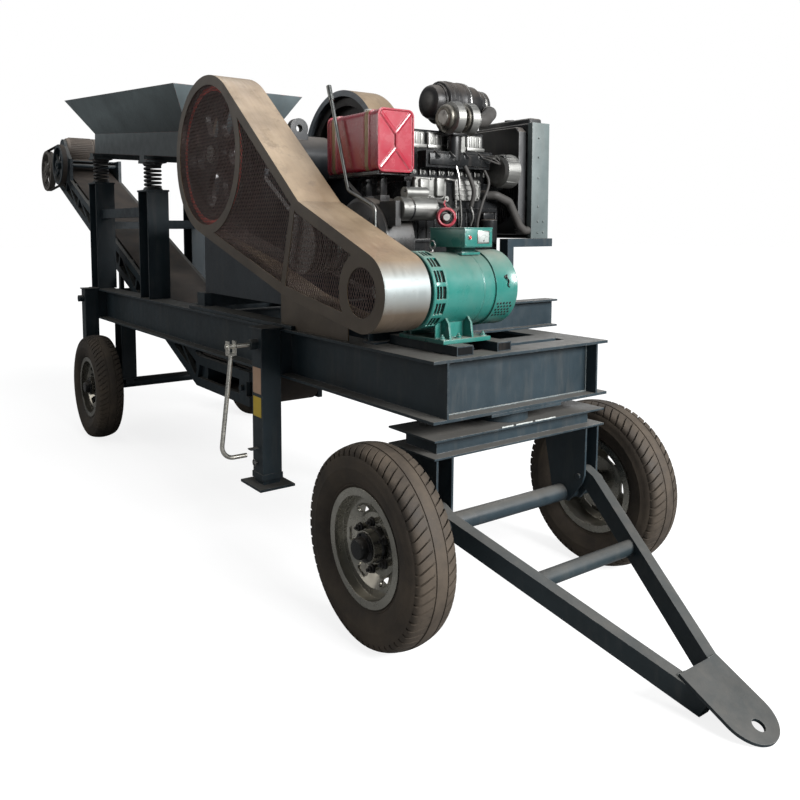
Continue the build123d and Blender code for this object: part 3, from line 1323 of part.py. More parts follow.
bays = 9
bay_run = climb_run / bays
hanger_width = 50.0
idler_radius = 30.0
idler_w = belt_drum_radius - idler_radius
cheek_rear_x = along(-6270)
cheek_front_x = along(-5870)
motor_plate_z = drive_motor_z - drive_motor_radius
motor_plate = 12.0
chord_mid_y = conveyor_half_width - chord_width / 2
truss_inner_y = conveyor_half_width - chord_width
with BuildPart() as conveyor_frame:
    for side in (-1, 1):
        with BuildSketch(Plane.XZ.offset(-side * chord_mid_y - chord_width / 2)):
            for low_w in (-chord_w - chord_height / 2, chord_w - chord_height / 2):
                with BuildLine():
                    Polyline(*conveyor_line(low_w), *reversed(conveyor_line(low_w + chord_height)),
                             close=True)
                make_face()
            for bay in range(bays):
                add(bar_face(on_climb(bay * bay_run, -chord_w), on_climb(bay * bay_run, chord_w), 30))
                if bay < bays - 1:
                    add(bar_face(on_climb(bay * bay_run, -chord_w),
                                 on_climb((bay + 1) * bay_run, chord_w), 24))
            for centre in (tail_centre, head_centre):
                with Locations(centre):
                    Rectangle(100, 2 * chord_w)
                    Circle(conveyor_shaft_radius + running_gap, mode=Mode.SUBTRACT)
            for hanger_x in (cross_xs[1], cross_xs[2]):
                with Locations((hanger_x, (conveyor_low_z + chord_w + cross_bottom_z) / 2)):
                    Rectangle(hanger_width, cross_bottom_z - conveyor_low_z - chord_w)
            strut_z = bend_centre[1] + (bend_centre[0] - cross_xs[0]) * tan(climb) - chord_w
            with Locations((cross_xs[0], (cross_top_z + strut_z) / 2)):
                Rectangle(hanger_width, strut_z - cross_top_z)
            with BuildLine():
                cheek_rear_z = bend_centre[1] + (bend_centre[0] - cheek_rear_x) * tan(climb) + chord_w
                cheek_front_z = bend_centre[1] + (bend_centre[0] - cheek_front_x) * tan(climb) + chord_w
                Polyline((cheek_rear_x, cheek_rear_z), (cheek_front_x, cheek_front_z),
                         (cheek_front_x, motor_plate_z), (cheek_rear_x, motor_plate_z), close=True)
            make_face()
            if side < 0:
                add(bar_face((along(drive_motor_x), drive_motor_z),
                             (along(drive_shaft_x), drive_shaft_z), 160))
                with Locations((along(drive_motor_x), drive_motor_z)):
                    Circle(drive_motor_radius - 24)
            with Locations((along(drive_shaft_x), drive_shaft_z)):
                Circle(55)
                Circle(conveyor_shaft_radius + running_gap, mode=Mode.SUBTRACT)
        extrude(amount=chord_width)
    for bay in range(1, bays):
        tie_centre = on_climb(bay * bay_run, 0)
        with BuildSketch(Plane.XZ.offset(-truss_inner_y)):
            with Locations(tie_centre):
                Rectangle(40, 40)
        extrude(amount=2 * truss_inner_y)
        roller = on_climb((bay - 0.5) * bay_run, idler_w)
        with BuildSketch(Plane.XZ.offset(-truss_inner_y)):
            with Locations(roller):
                Circle(idler_radius - running_gap)
        extrude(amount=2 * truss_inner_y)
    with BuildSketch(Plane.XZ.offset(-truss_inner_y)):
        with Locations(bend_centre):
            Circle(belt_drum_radius - running_gap)
    extrude(amount=2 * truss_inner_y)
    with Locations(((cheek_rear_x + cheek_front_x) / 2 - 60, 0, motor_plate_z - motor_plate / 2)):
        Box(cheek_front_x - cheek_rear_x - 120, 2 * truss_inner_y, motor_plate)
place(conveyor_frame.part, "conveyor_frame")

with BuildPart() as conveyor_belt:
    with BuildSketch(Plane.XZ.offset(-belt_half_width)):
        outer = belt_drum_radius + running_gap + belt_thickness
        add(loop_face(tail_centre, outer, bend_centre, outer))
        add(loop_face(bend_centre, outer, head_centre, outer))
        with BuildSketch(mode=Mode.SUBTRACT):
            inner = belt_drum_radius + running_gap
            add(loop_face(tail_centre, inner, bend_centre, inner))
            add(loop_face(bend_centre, inner, head_centre, inner))
    extrude(amount=2 * belt_half_width)
place(conveyor_belt.part, "conveyor_belt")


def spoked_wheel(x, z, radius):
    """Rim, hub and spokes of a belt wheel on the conveyor's near side."""
    with BuildPart() as spoked:
        with BuildSketch(wheel_plane(x, z)):
            for outer, inner, width in ((radius, radius - 26, conveyor_wheel_width), (48, 0, 70)):
                with Locations((conveyor_wheel_y, (outer + inner) / 2)):
                    Rectangle(width, outer - inner)
        revolve(axis=Axis((x, 0, z), (0, 1, 0)))
        with Locations(Plane(origin=(x, conveyor_wheel_y, z), x_dir=(1, 0, 0), z_dir=(0, -1, 0))):
            with PolarLocations((radius + 20) / 2, 5):
                Box(radius - 50, 30, 16)
    return spoked.part


head_wheel = spoked_wheel(*head_centre, head_wheel_radius)
big_drive_wheel = spoked_wheel(along(drive_shaft_x), drive_shaft_z, drive_wheel_radius)
shaft_near_end = conveyor_wheel_y - 45
shaft_far_end = conveyor_half_width + 20
for name, centre in (("conveyor_tail_drum", tail_centre), ("conveyor_head_drum", head_centre)):
    with BuildPart() as drum:
        near_end = shaft_near_end if centre is head_centre else -shaft_far_end
        with BuildSketch(wheel_plane(*centre)):
            with Locations((0, belt_drum_radius / 2)):
                Rectangle(2 * belt_half_width + 8, belt_drum_radius)
            with Locations(((near_end + shaft_far_end) / 2, conveyor_shaft_radius / 2)):
                Rectangle(shaft_far_end - near_end, conveyor_shaft_radius)
        revolve(axis=Axis((centre[0], 0, centre[1]), (0, 1, 0)))
        if centre is head_centre:
            add(head_wheel)
    place(drum.part, name)

with BuildPart() as drive_wheel:
    with BuildSketch(wheel_plane(along(drive_shaft_x), drive_shaft_z)):
        with Locations(((shaft_near_end + shaft_far_end) / 2, conveyor_shaft_radius / 2)):
            Rectangle(shaft_far_end - shaft_near_end, conveyor_shaft_radius)
    revolve(axis=Axis((along(drive_shaft_x), 0, drive_shaft_z), (0, 1, 0)))
    add(big_drive_wheel)
place(drive_wheel.part, "conveyor_drive_wheel")

# Conveyor motor on its plate, and the belt from the drive wheel to the head wheel
motor_near_y = -truss_inner_y
motor_far_y = 125.0
with BuildPart() as motor:
    with BuildSketch(wheel_plane(along(drive_motor_x), drive_motor_z)):
        with BuildLine():
            Polyline((motor_near_y, 0), (motor_near_y, 100), (motor_near_y + 22, drive_motor_radius - 1),
                     (motor_far_y - 90, drive_motor_radius - 1), (motor_far_y - 84, 112),
                     (motor_far_y - 10, 112), (motor_far_y, 90), (motor_far_y, 0), close=True)
        make_face()
    revolve(axis=Axis((along(drive_motor_x), 0, drive_motor_z), (0, 1, 0)))
    with Locations((along(drive_motor_x), (motor_near_y + motor_far_y) / 2 - 20, motor_plate_z + 12)):
        Box(170, 200, 24)
place(motor.part, "conveyor_motor")

wheel_belt_width = 40.0
with BuildPart() as wheel_belt:
    with BuildSketch(Plane.XZ.offset(-conveyor_wheel_y - wheel_belt_width / 2)):
        drive_centre = (along(drive_shaft_x), drive_shaft_z)
        add(loop_face(drive_centre, drive_wheel_radius + running_gap + 5, head_centre,
                      head_wheel_radius + running_gap + 5))
        add(loop_face(drive_centre, drive_wheel_radius + running_gap, head_centre,
                      head_wheel_radius + running_gap), mode=Mode.SUBTRACT)
    extrude(amount=wheel_belt_width)
place(wheel_belt.part, "conveyor_drive_belt")
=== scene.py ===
"""Looks of the trailer-mounted jaw crushing plant, in metres, in the frame of its solids."""
import json
import random
from math import acos, atan2, cos, degrees, hypot, pi, radians, sin

import bmesh
import bpy
from mathutils import Matrix, Vector


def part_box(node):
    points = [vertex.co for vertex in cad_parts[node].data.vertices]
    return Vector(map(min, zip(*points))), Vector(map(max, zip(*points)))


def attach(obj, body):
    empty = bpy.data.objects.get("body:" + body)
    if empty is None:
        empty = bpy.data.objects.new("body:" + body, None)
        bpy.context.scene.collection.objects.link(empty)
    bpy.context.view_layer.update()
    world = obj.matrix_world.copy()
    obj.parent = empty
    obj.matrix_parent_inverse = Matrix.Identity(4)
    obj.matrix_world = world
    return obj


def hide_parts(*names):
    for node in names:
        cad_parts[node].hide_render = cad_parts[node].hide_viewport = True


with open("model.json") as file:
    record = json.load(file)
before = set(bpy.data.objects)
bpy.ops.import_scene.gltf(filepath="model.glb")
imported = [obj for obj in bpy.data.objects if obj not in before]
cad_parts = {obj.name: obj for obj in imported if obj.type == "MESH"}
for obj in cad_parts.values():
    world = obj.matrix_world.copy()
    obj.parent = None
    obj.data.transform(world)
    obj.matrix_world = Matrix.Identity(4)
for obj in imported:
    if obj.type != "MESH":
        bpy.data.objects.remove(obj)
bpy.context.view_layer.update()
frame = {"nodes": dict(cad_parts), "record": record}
nodes = frame["nodes"]
scene = bpy.context.scene
scene.view_settings.view_transform = "Standard"
random.seed(7)

# The model's origin lies under the middle of the plant; places in X are counted from the front axle
axle_low, axle_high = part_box("tyre_front_near")
front_axle_x = round((axle_low.x + axle_high.x) / 2, 4)


# Camera of the photograph
camera_data = bpy.data.cameras.new("camera")
camera_data.sensor_width = 36.0
camera_data.lens = 35.47
camera_data.shift_x = 0.0243
camera_data.shift_y = -0.1339
camera_data.clip_end = 200.0
camera = bpy.data.objects.new("camera", camera_data)
camera.location = (front_axle_x + 2.3843, -2.3234, 1.588)
camera.rotation_euler = (radians(85.283), 0.0, radians(54.605))
scene.collection.objects.link(camera)
scene.camera = camera


# Materials
def feed(tree, socket, value):
    if isinstance(value, bpy.types.NodeSocket):
        tree.links.new(value, socket)
    else:
        socket.default_value = value


def add_node(tree, kind, inputs=None, **settings):
    """Add a node; inputs maps a socket's name or number to a value or to the socket that feeds it."""
    node = tree.nodes.new(kind)
    for key, value in settings.items():
        setattr(node, key, value)
    for key, value in (inputs or {}).items():
        feed(tree, node.inputs[key], value)
    return node


class Tree:
    """A short way to write a material's nodes."""

    def __init__(self, name):
        self.material = bpy.data.materials.new(name)
        self.material.use_nodes = True
        self.tree = self.material.node_tree
        self.place = self.add("ShaderNodeTexCoord").outputs["Object"]

    def add(self, kind, inputs=None, **settings):
        return add_node(self.tree, kind, inputs, **settings)

    def noise(self, scale, detail=4.0, rough=0.55, stretch=(1, 1, 1)):
        place = self.add("ShaderNodeMapping", {"Scale": stretch, "Vector": self.place}).outputs["Vector"]
        inputs = {"Vector": place, "Scale": scale, "Detail": detail, "Roughness": rough}
        return self.add("ShaderNodeTexNoise", inputs).outputs["Fac"]

    def band(self, value, low, high, out_low=0.0, out_high=1.0):
        inputs = {"Value": value, "From Min": low, "From Max": high, "To Min": out_low, "To Max": out_high}
        return self.add("ShaderNodeMapRange", inputs, clamp=True).outputs["Result"]

    def math(self, operation, a, b):
        return self.add("ShaderNodeMath", {0: a, 1: b}, operation=operation).outputs[0]

    def mix(self, share, first, second):
        first, second = ((*c, 1) if isinstance(c, tuple) else c for c in (first, second))
        inputs = {"Factor": share, "A": first, "B": second}
        return self.add("ShaderNodeMix", inputs, data_type="RGBA").outputs["Result"]

    def parts(self, vector):
        return self.add("ShaderNodeSeparateXYZ", {0: vector}).outputs

    def normal(self):
        return self.add("ShaderNodeNewGeometry").outputs["Normal"]

    def upward(self):
        """1 on faces that look up, where dust lies."""
        return self.band(self.parts(self.normal())["Z"], 0.25, 0.95)

    def edges(self, radius):
        """1 along sharp edges, from the turn of a rounded normal, and that normal."""
        rounded = self.add("ShaderNodeBevel", {"Radius": radius}, samples=4).outputs["Normal"]
        dot = self.add("ShaderNodeVectorMath", {0: rounded, 1: self.normal()}, operation="DOT_PRODUCT")
        return self.band(dot.outputs["Value"], 0.99, 0.86), rounded

    def bump(self, height, strength, distance, normal=None):
        inputs = {"Strength": strength, "Distance": distance, "Height": height}
        if normal is not None:
            inputs["Normal"] = normal
        return self.add("ShaderNodeBump", inputs).outputs["Normal"]

    def finish(self, inputs):
        """Feed the shader and hand over the material."""
        shader = self.tree.nodes["Principled BSDF"]
        for key, value in inputs.items():
            feed(self.tree, shader.inputs[key], value)
        return self.material


def shade(colour, factor):
    return tuple(min(1.0, c * factor) for c in colour)


def paint(name, colour, rough=0.42, metallic=0.0, dust=0.45, dust_colour=(0.21, 0.175, 0.145), wear=0.5,
          wear_colour=(0.34, 0.33, 0.32), variety=0.3, grain=140.0, relief=0.25, edge=0.004, coat=0.0,
          shine=0.4, shaded=None):
    """Brushed or sprayed paint with uneven colour, dust on what looks up, and rubbed edges.

    shaded is (low z, high z, factor): below, the colour is darker by the factor.
    """
    t = Tree(name)
    cloud = t.noise(2.6, 6.0, 0.62)
    fine = t.noise(grain, 3.0, 0.6)
    runs = t.noise(9.0, 5.0, 0.6, (2.2, 2.2, 0.35))
    base = t.mix(t.band(cloud, 0.3, 0.72), shade(colour, 1 - variety), shade(colour, 1 + variety))
    base = t.mix(t.band(runs, 0.52, 0.8, 0.0, 0.16), base, shade(dust_colour, 0.55))
    if shaded:
        low, high, factor = shaded
        base = t.mix(t.band(t.parts(t.place)["Z"], low, high, 1.0, 0.0), base, shade(colour, factor))
    lies = t.math("MULTIPLY", t.upward(), t.band(t.noise(7.0, 6.0, 0.65), 0.3, 0.66, 0.25, dust))
    base = t.mix(lies, base, dust_colour)
    rim, rounded = t.edges(edge)
    rubbed = t.math("MULTIPLY", rim, t.band(t.noise(24.0, 5.0, 0.7), 0.44, 0.62, 0.0, wear))
    chips = t.band(t.noise(48.0, 4.0, 0.7), 0.7, 0.73, 0.0, wear * 0.8)
    rubbed = t.math("MAXIMUM", rubbed, t.math("MULTIPLY", chips, t.band(cloud, 0.5, 0.62)))
    dull = t.band(t.noise(16.0, 5.0, 0.6), 0.3, 0.7, rough - 0.08, rough + 0.12)
    return t.finish({
        "Base Color": t.mix(rubbed, base, wear_colour), "Metallic": metallic,
        "Roughness": t.math("ADD", dull, t.math("MULTIPLY", lies, 0.4)), "Specular IOR Level": shine,
        "Coat Weight": coat, "Coat Roughness": 0.18, "Normal": t.bump(fine, relief, 0.0012, rounded)})


def steel(name, colour, rough=0.3, rust=0.15, rust_colour=(0.2, 0.09, 0.045)):
    """Bare metal with fine scratches, smudges and rust in patches."""
    t = Tree(name)
    patch = t.band(t.noise(14.0, 7.0, 0.68), 0.6 - rust * 0.3, 0.75 - rust * 0.2)
    lines = t.noise(90.0, 3.0, 0.5, (1, 0.08, 1))
    base = t.mix(t.band(t.noise(6.0, 5.0), 0.3, 0.7), shade(colour, 0.72), shade(colour, 1.15))
    dull = t.band(lines, 0.3, 0.7, rough - 0.07, rough + 0.12)
    return t.finish({
        "Base Color": t.mix(t.math("MULTIPLY", patch, min(1.0, rust * 4)), base, rust_colour),
        "Metallic": t.band(patch, 0.0, 1.0, 1.0, 1.0 - min(1.0, rust * 3)),
        "Roughness": t.math("ADD", dull, t.math("MULTIPLY", patch, 0.3)),
        "Normal": t.bump(lines, 0.18, 0.0006, t.edges(0.002)[1])})


def rubber(name, colour, dust_colour=(0.16, 0.125, 0.1), dust=0.55, rough=0.72):
    """Rubber greyed by dust, with a matt, pitted skin."""
    t = Tree(name)
    film = t.band(t.noise(5.0, 6.0, 0.68), 0.32, 0.7, 0.08, dust)
    specks = t.band(t.noise(60.0, 4.0, 0.7), 0.5, 0.74, 0.0, dust * 0.8)
    return t.finish({
        "Base Color": t.mix(t.math("MAXIMUM", film, specks), (*colour,), (*dust_colour,)),
        "Roughness": t.band(film, 0.0, dust, rough - 0.12, rough + 0.15), "Specular IOR Level": 0.25,
        "Normal": t.bump(t.noise(90.0, 5.0, 0.65), 0.3, 0.0015)})


guard_silver_x = front_axle_x - 0.02


def guard_sheet(name, side_shade_low=(0.05, 0.037, 0.027), side_shade_high=(0.1, 0.078, 0.055)):
    """Bare sheet with painted light and shade by facing: tan, lighter and brushed where it looks up, silver
    round the drum, darker on the upright faces as painted shade.
    """
    t = Tree(name)
    patches = t.band(t.noise(3.4, 6.0, 0.62), 0.3, 0.72)
    lines = t.noise(60.0, 3.0, 0.5, (0.12, 1, 0.12))
    normal = t.parts(t.normal())
    # Painted light and shade: up picks faces that look up or forward, which get the lighter top colour; face
    # picks faces towards -Y, which get the darker side colour.
    up = t.band(t.math("ADD", normal["Z"], t.math("MULTIPLY", normal["X"], 0.5)), -0.05, 0.6)
    face = t.band(normal["Y"], -0.75, -0.35, 1.0, 0.0)
    top = t.mix(patches, (0.125, 0.088, 0.055), (0.275, 0.208, 0.138))
    drum = t.band(t.math("ADD", t.parts(t.place)["X"], t.math("MULTIPLY", normal["Z"], -0.12)),
                  guard_silver_x - 0.08, guard_silver_x + 0.03)
    top = t.mix(drum, top, (0.19, 0.215, 0.215))
    # The upright faces' colour is painted shade.
    dull = t.mix(patches, side_shade_low, side_shade_high)
    base = t.mix(face, t.mix(up, dull, top), dull)
    stain = t.band(t.noise(11.0, 6.0, 0.68), 0.56, 0.74, 0.0, 0.55)
    return t.finish({
        "Base Color": t.mix(stain, base, (0.075, 0.055, 0.04)), "Metallic": t.band(up, 0.0, 1.0, 0.1, 0.3),
        "Roughness": t.math("ADD", t.band(lines, 0.3, 0.7, 0.32, 0.5), t.math("MULTIPLY", stain, 0.3)),
        "Normal": t.bump(lines, 0.12, 0.0006, t.edges(0.002)[1])})


finishes = {
    "chassis_paint": paint("chassis paint", (0.0135, 0.0225, 0.0285), rough=0.4, dust=0.28, wear=0.3,
                           dust_colour=(0.245, 0.215, 0.18), shine=0.3),
    "tyre_rubber": rubber("tyre rubber", (0.012, 0.01, 0.0085), dust_colour=(0.1, 0.078, 0.057), dust=0.6),
    "rim_silver": paint("rim silver", (0.27, 0.262, 0.23), rough=0.24, metallic=0.85, dust=0.4, wear=0.6,
                        wear_colour=(0.1, 0.072, 0.05), variety=0.45),
    "bright_steel": steel("zinc plating", (0.34, 0.335, 0.32), rough=0.28, rust=0.14),
    "hopper_paint": paint("hopper paint", (0.146, 0.18, 0.19), rough=0.36, metallic=0.25, dust=0.35, wear=0.9,
                          wear_colour=(0.34, 0.09, 0.06), shaded=(2.2, 2.46, 0.28)),
    "spring_steel": paint("spring paint", (0.01, 0.011, 0.012), rough=0.35, dust=0.2, shine=0.3),
    "crusher_paint": paint("crusher paint", (0.022, 0.028, 0.034), dust=0.35, relief=0.5, grain=70,
                           shine=0.3),
    "jaw_steel": steel("manganese steel", (0.2, 0.19, 0.18), rough=0.45, rust=0.25),
    "wheel_paint": paint("wheel paint", (0.016, 0.013, 0.013), rough=0.4, dust=0.3, wear=0.3, shine=0.3),
    "machined_steel": steel("machined steel", (0.36, 0.35, 0.33), rough=0.28, rust=0.12),
    "belt_rubber": rubber("belt rubber", (0.012, 0.012, 0.012), dust=0.35, rough=0.66),
    "guard_paint": guard_sheet("guard sheet"),
    "mesh_paint": paint("mesh paint", (0.13, 0.088, 0.078), rough=0.45, dust=0.25, edge=0.0008, shine=0.35),
    "engine_black": paint("engine black", (0.0065, 0.007, 0.0075), rough=0.26, dust=0.12, wear=0.3,
                          shine=0.22),
    "engine_alloy": steel("cast alloy", (0.22, 0.22, 0.21), rough=0.42, rust=0.14,
                          rust_colour=(0.04, 0.032, 0.028)),
    "filter_black": paint("filter black", (0.0085, 0.0085, 0.009), rough=0.38, dust=0.16, shine=0.25),
    "radiator_black": paint("radiator black", (0.019, 0.02, 0.021), dust=0.3, shine=0.3),
    "hose_rubber": rubber("hose rubber", (0.022, 0.023, 0.023), dust=0.08, rough=0.46),
    "tank_red": paint("tank red", (0.225, 0.013, 0.026), rough=0.22, dust=0.2, wear=0.3, variety=0.12,
                      relief=0.1, coat=0.5),
    "generator_teal": paint("generator teal", (0.014, 0.112, 0.094), rough=0.3, dust=0.6, wear=0.35,
                            variety=0.15, relief=0.2, coat=0.3),
    "motor_brown": paint("dusty motor", (0.115, 0.095, 0.08), rough=0.6, dust=0.5, wear=0.2),
}
crank_steel = steel("crank steel", (0.66, 0.64, 0.58), rough=0.3, rust=0.04)
own_finishes = {
    # The flywheel guard's upright faces take lighter, bluer side colours: painted light and shade by facing,
    # as on the guard sheet.
    "flywheel_guard": guard_sheet("flywheel guard", (0.09, 0.103, 0.118), (0.15, 0.168, 0.188)),
    "drawbar_frame": paint("drawbar paint", (0.0135, 0.0205, 0.024), rough=0.45, dust=0.14, wear=0.3,
                           shine=0.22, dust_colour=(0.19, 0.165, 0.14)),
    "clutch_housing": paint("clutch housing", (0.022, 0.022, 0.022), rough=0.3, dust=0.3, shine=0.5),
    "jack_crank_front_near": crank_steel,
    "jack_crank_front_far": crank_steel,
    "clutch_lever": steel("lever steel", (0.15, 0.155, 0.15), rough=0.34, rust=0.1),
    "pitman": paint("pitman", (0.01, 0.012, 0.014), rough=0.36, dust=0.35, relief=0.4),
    "conveyor_head_drum": rubber("drum lagging", (0.1, 0.092, 0.085), (0.19, 0.17, 0.15), rough=0.7),
}
slot_of = {entry["node"]: entry["material_slot"] for entry in frame["record"]["subparts"]}
for node, thing in nodes.items():
    thing.data.materials.clear()
    thing.data.materials.append(own_finishes.get(node, finishes[slot_of[node]]))


# Mesh building
x_axis, y_axis, z_axis = Matrix.Identity(3)
here = (0.0, 0.0, 0.0)


def across(axis):
    """Two unit vectors square to an axis and to each other."""
    axis = Vector(axis).normalized()
    helper = z_axis if abs(axis.z) < 0.9 else x_axis
    first = helper.cross(axis).normalized()
    return first, axis.cross(first)


def evenly(count, first=0.0):
    """Angles spaced evenly round a circle, from a first one in degrees."""
    return [radians(first) + 2 * pi * k / count for k in range(count)]


def spread(count, radius, first=0.0):
    """Places in X and Z spaced evenly round a circle, each with its turn about Y in degrees."""
    return [(radius * cos(a), radius * sin(a), -degrees(a)) for a in evenly(count, first)]


def circle(centre, radius, u=x_axis, v=z_axis, steps=24):
    """Points round a circle, back to the first one."""
    angles = [2 * pi * k / steps for k in range(steps + 1)]
    return [Vector(centre) + radius * (cos(a) * u + sin(a) * v) for a in angles]


class Shape:
    """A mesh built up from closed forms round an origin, whose X is counted from the front axle."""

    def __init__(self, x=0.0, y=0.0, z=0.0):
        self.origin = Vector((front_axle_x + x, y, z))
        self.bm = bmesh.new()

    def block(self, centre, size, soft=0.003, turn=None, steps=2):
        """A block with rounded edges; turn is (degrees, axis)."""
        spin = Matrix.Rotation(radians(turn[0]), 4, turn[1]) if turn else Matrix()
        matrix = Matrix.Translation(centre) @ spin @ Matrix.Diagonal((*size, 1))
        made = bmesh.ops.create_cube(self.bm, size=1.0, matrix=matrix)
        if soft:
            edges = list({edge for vert in made["verts"] for edge in vert.link_edges})
            bmesh.ops.bevel(self.bm, geom=edges, offset=soft, segments=steps, profile=0.6, affect="EDGES")

    def rings(self, loops, closed_ends=True):
        """Join loops of points, one after the other, into a skin."""
        made = [[self.bm.verts.new(p) for p in loop] for loop in loops]
        for first, second in zip(made, made[1:]):
            count = max(len(first), len(second))
            for i in range(count):
                j = (i + 1) % count
                if len(first) == 1:
                    self.bm.faces.new((first[0], second[j], second[i]))
                elif len(second) == 1:
                    self.bm.faces.new((first[i], first[j], second[0]))
                else:
                    self.bm.faces.new((first[i], first[j], second[j], second[i]))
        if closed_ends:
            for ring in (made[0], made[-1]):
                if len(ring) > 2:
                    self.bm.faces.new(ring)

    def lathe(self, origin, axis, profile, steps=32):
        """Turn (radius, reach) points round an axis into a solid whose ends run to the axis."""
        origin = Vector(origin)
        axis = Vector(axis).normalized()
        u, v = across(axis)
        hoop = profile[0] == profile[-1]
        if not hoop and profile[0][0]:
            profile = [(0.0, profile[0][1]), *profile]
        if not hoop and profile[-1][0]:
            profile = [*profile, (0.0, profile[-1][1])]
        loops = []
        for radius, reach in profile:
            centre = origin + axis * reach
            angles = evenly(steps if radius else 1)
            loops.append([centre + radius * (cos(a) * u + sin(a) * v) for a in angles])
        self.rings(loops, closed_ends=not hoop)

    def hoop(self, origin, axis, profile, steps=32):
        """Turn a closed outline of (radius, reach) points round an axis."""
        self.lathe(origin, axis, [*profile, profile[0]], steps)

    def tube(self, points, radius, sides=10, flat=None):
        """A round rod along a path; flat gives its two half widths instead of a radius."""
        points = [Vector(p) for p in points]
        wide, thick = flat or (radius, radius)
        u = across(points[1] - points[0])[0]
        loops = []
        for i, point in enumerate(points):
            heading = (points[min(i + 1, len(points) - 1)] - points[max(i - 1, 0)]).normalized()
            u = (u - heading * u.dot(heading)).normalized()
            v = heading.cross(u)
            loops.append([point + wide * cos(a) * u + thick * sin(a) * v for a in evenly(sides, 180 / sides)])
        self.rings(loops)

    def bolt(self, place, axis, across_flats=0.024, washer=True, stud=0.0):
        """A hexagon head on a washer, with a stud's end if it has one."""
        radius = across_flats * 0.577
        top = across_flats * 0.62
        if washer:
            self.lathe(place, axis, [(radius * 1.5, 0.0), (radius * 1.5, 0.0025)], 14)
        self.lathe(place, axis, [(radius, 0.002), (radius, top * 0.86), (radius * 0.84, top)], 6)
        if stud:
            end = top + stud
            profile = [(radius * 0.5, top), (radius * 0.5, end), (radius * 0.38, end + 0.002)]
            self.lathe(place, axis, profile, 10)

    def piece(self, name, material, body="chassis", instead=(), angle=35):
        """Finish the mesh as a piece that rides on a body."""
        bmesh.ops.translate(self.bm, vec=self.origin, verts=self.bm.verts)
        bmesh.ops.recalc_face_normals(self.bm, faces=self.bm.faces)
        for face in self.bm.faces:
            face.smooth = True
        for edge in self.bm.edges:
            edge.smooth = len(edge.link_faces) == 2 and edge.calc_face_angle(0) < radians(angle)
        mesh = bpy.data.meshes.new(name)
        self.bm.to_mesh(mesh)
        self.bm.free()
        thing = bpy.data.objects.new(name, mesh)
        scene.collection.objects.link(thing)
        mesh.materials.append(finishes[material] if isinstance(material, str) else material)
        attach(thing, body)
        if instead:
            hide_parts(*instead)


def curve_through(points, steps=6):
    """A smooth path through points, ends included."""
    points = [Vector(p) for p in points]
    ends = [2 * points[0] - points[1], *points, 2 * points[-1] - points[-2]]
    path = []
    for a, b, c, d in zip(ends, ends[1:], ends[2:], ends[3:]):
        for k in range(steps):
            t = k / steps
            path.append(0.5 * (2 * b + (c - a) * t + (2 * a - 5 * b + 4 * c - d) * t * t
                               + (3 * b - a - 3 * c + d) * t * t * t))
    path.append(points[-1])
    return path


def bent(points, radius):
    """A path of straight runs with round corners."""
    steps = 5
    points = [Vector(p) for p in points]
    path = [points[0]]
    for before, corner, after in zip(points, points[1:], points[2:]):
        room = min(radius, (before - corner).length * 0.48, (after - corner).length * 0.48)
        start = corner + (before - corner).normalized() * room
        end = corner + (after - corner).normalized() * room
        for k in range(steps + 1):
            t = k / steps
            path.append((1 - t) ** 2 * start + 2 * t * (1 - t) * corner + t * t * end)
    path.append(points[-1])
    return path


# Wheels
tyre_radius = 0.388
half_track = 0.644
rear_axle_x = -3.7
lug_count = 60
wheel_places = {"front_near": (0, -1), "front_far": (0, 1),
                "rear_near": (rear_axle_x, -1), "rear_far": (rear_axle_x, 1)}


def tyre(tag):
    """A cross-ply tyre: curved slits cut the tread into lugs on both sides of a middle rib."""
    wheel_x, side = wheel_places[tag]
    half = [
        (0.0645, 0.2036), (0.0655, 0.229), (0.071, 0.2335), (0.0725, 0.236), (0.0715, 0.2385),
        (0.079, 0.247), (0.0872, 0.264), (0.0928, 0.283), (0.0946, 0.3), (0.095, 0.3025), (0.094, 0.305),
        (0.0925, 0.326), (0.0892, 0.342), (0.0866, 0.3475), (0.0868, 0.3515), (0.0842, 0.361),
        (0.079, 0.369), (0.07, 0.3742), (0.058, 0.379), (0.044, 0.3828), (0.03, 0.3852), (0.0285, 0.3818),
        (0.0235, 0.3824), (0.022, 0.3866), (0.01, 0.3877)]
    section = [(-y, r) for y, r in half] + [(0, tyre_radius)] + half[::-1]
    columns = [(0, False), (0.3, False), (0.6, False), (0.81, False), (0.835, True), (0.975, True)]
    pitch = 2 * pi / lug_count
    loops = []
    for y, r in section:
        out = abs(y) / 0.086
        sweep = pitch * 1.15 * min(out, 1) ** 1.4 * (1 if y > 0 else -1)
        depth = 0.006 + 0.005 * min(1, out) if r > 0.35 and abs(y) > 0.03 else 0
        widen = 1 + 0.9 * max(0, out - 0.55)
        loop = []
        for lug in range(lug_count):
            for place, cut in columns:
                angle = pitch * (lug + 1 - (1 - place) * (widen if place > 0.7 else 1)) + sweep
                radius = r - (depth if cut else 0)
                narrow = 1 - (0.035 if cut and depth and out > 0.9 else 0)
                loop.append((radius * cos(angle), y * narrow, radius * sin(angle)))
        loops.append(loop)
    shape = Shape(wheel_x, side * half_track, tyre_radius)
    shape.rings([*loops, loops[0]], closed_ends=False)
    bmesh.ops.remove_doubles(shape.bm, verts=shape.bm.verts, dist=1e-6)
    shape.piece(f"tread_{tag}", "tyre_rubber", f"wheel_{tag}", instead=(f"tyre_{tag}",), angle=28)


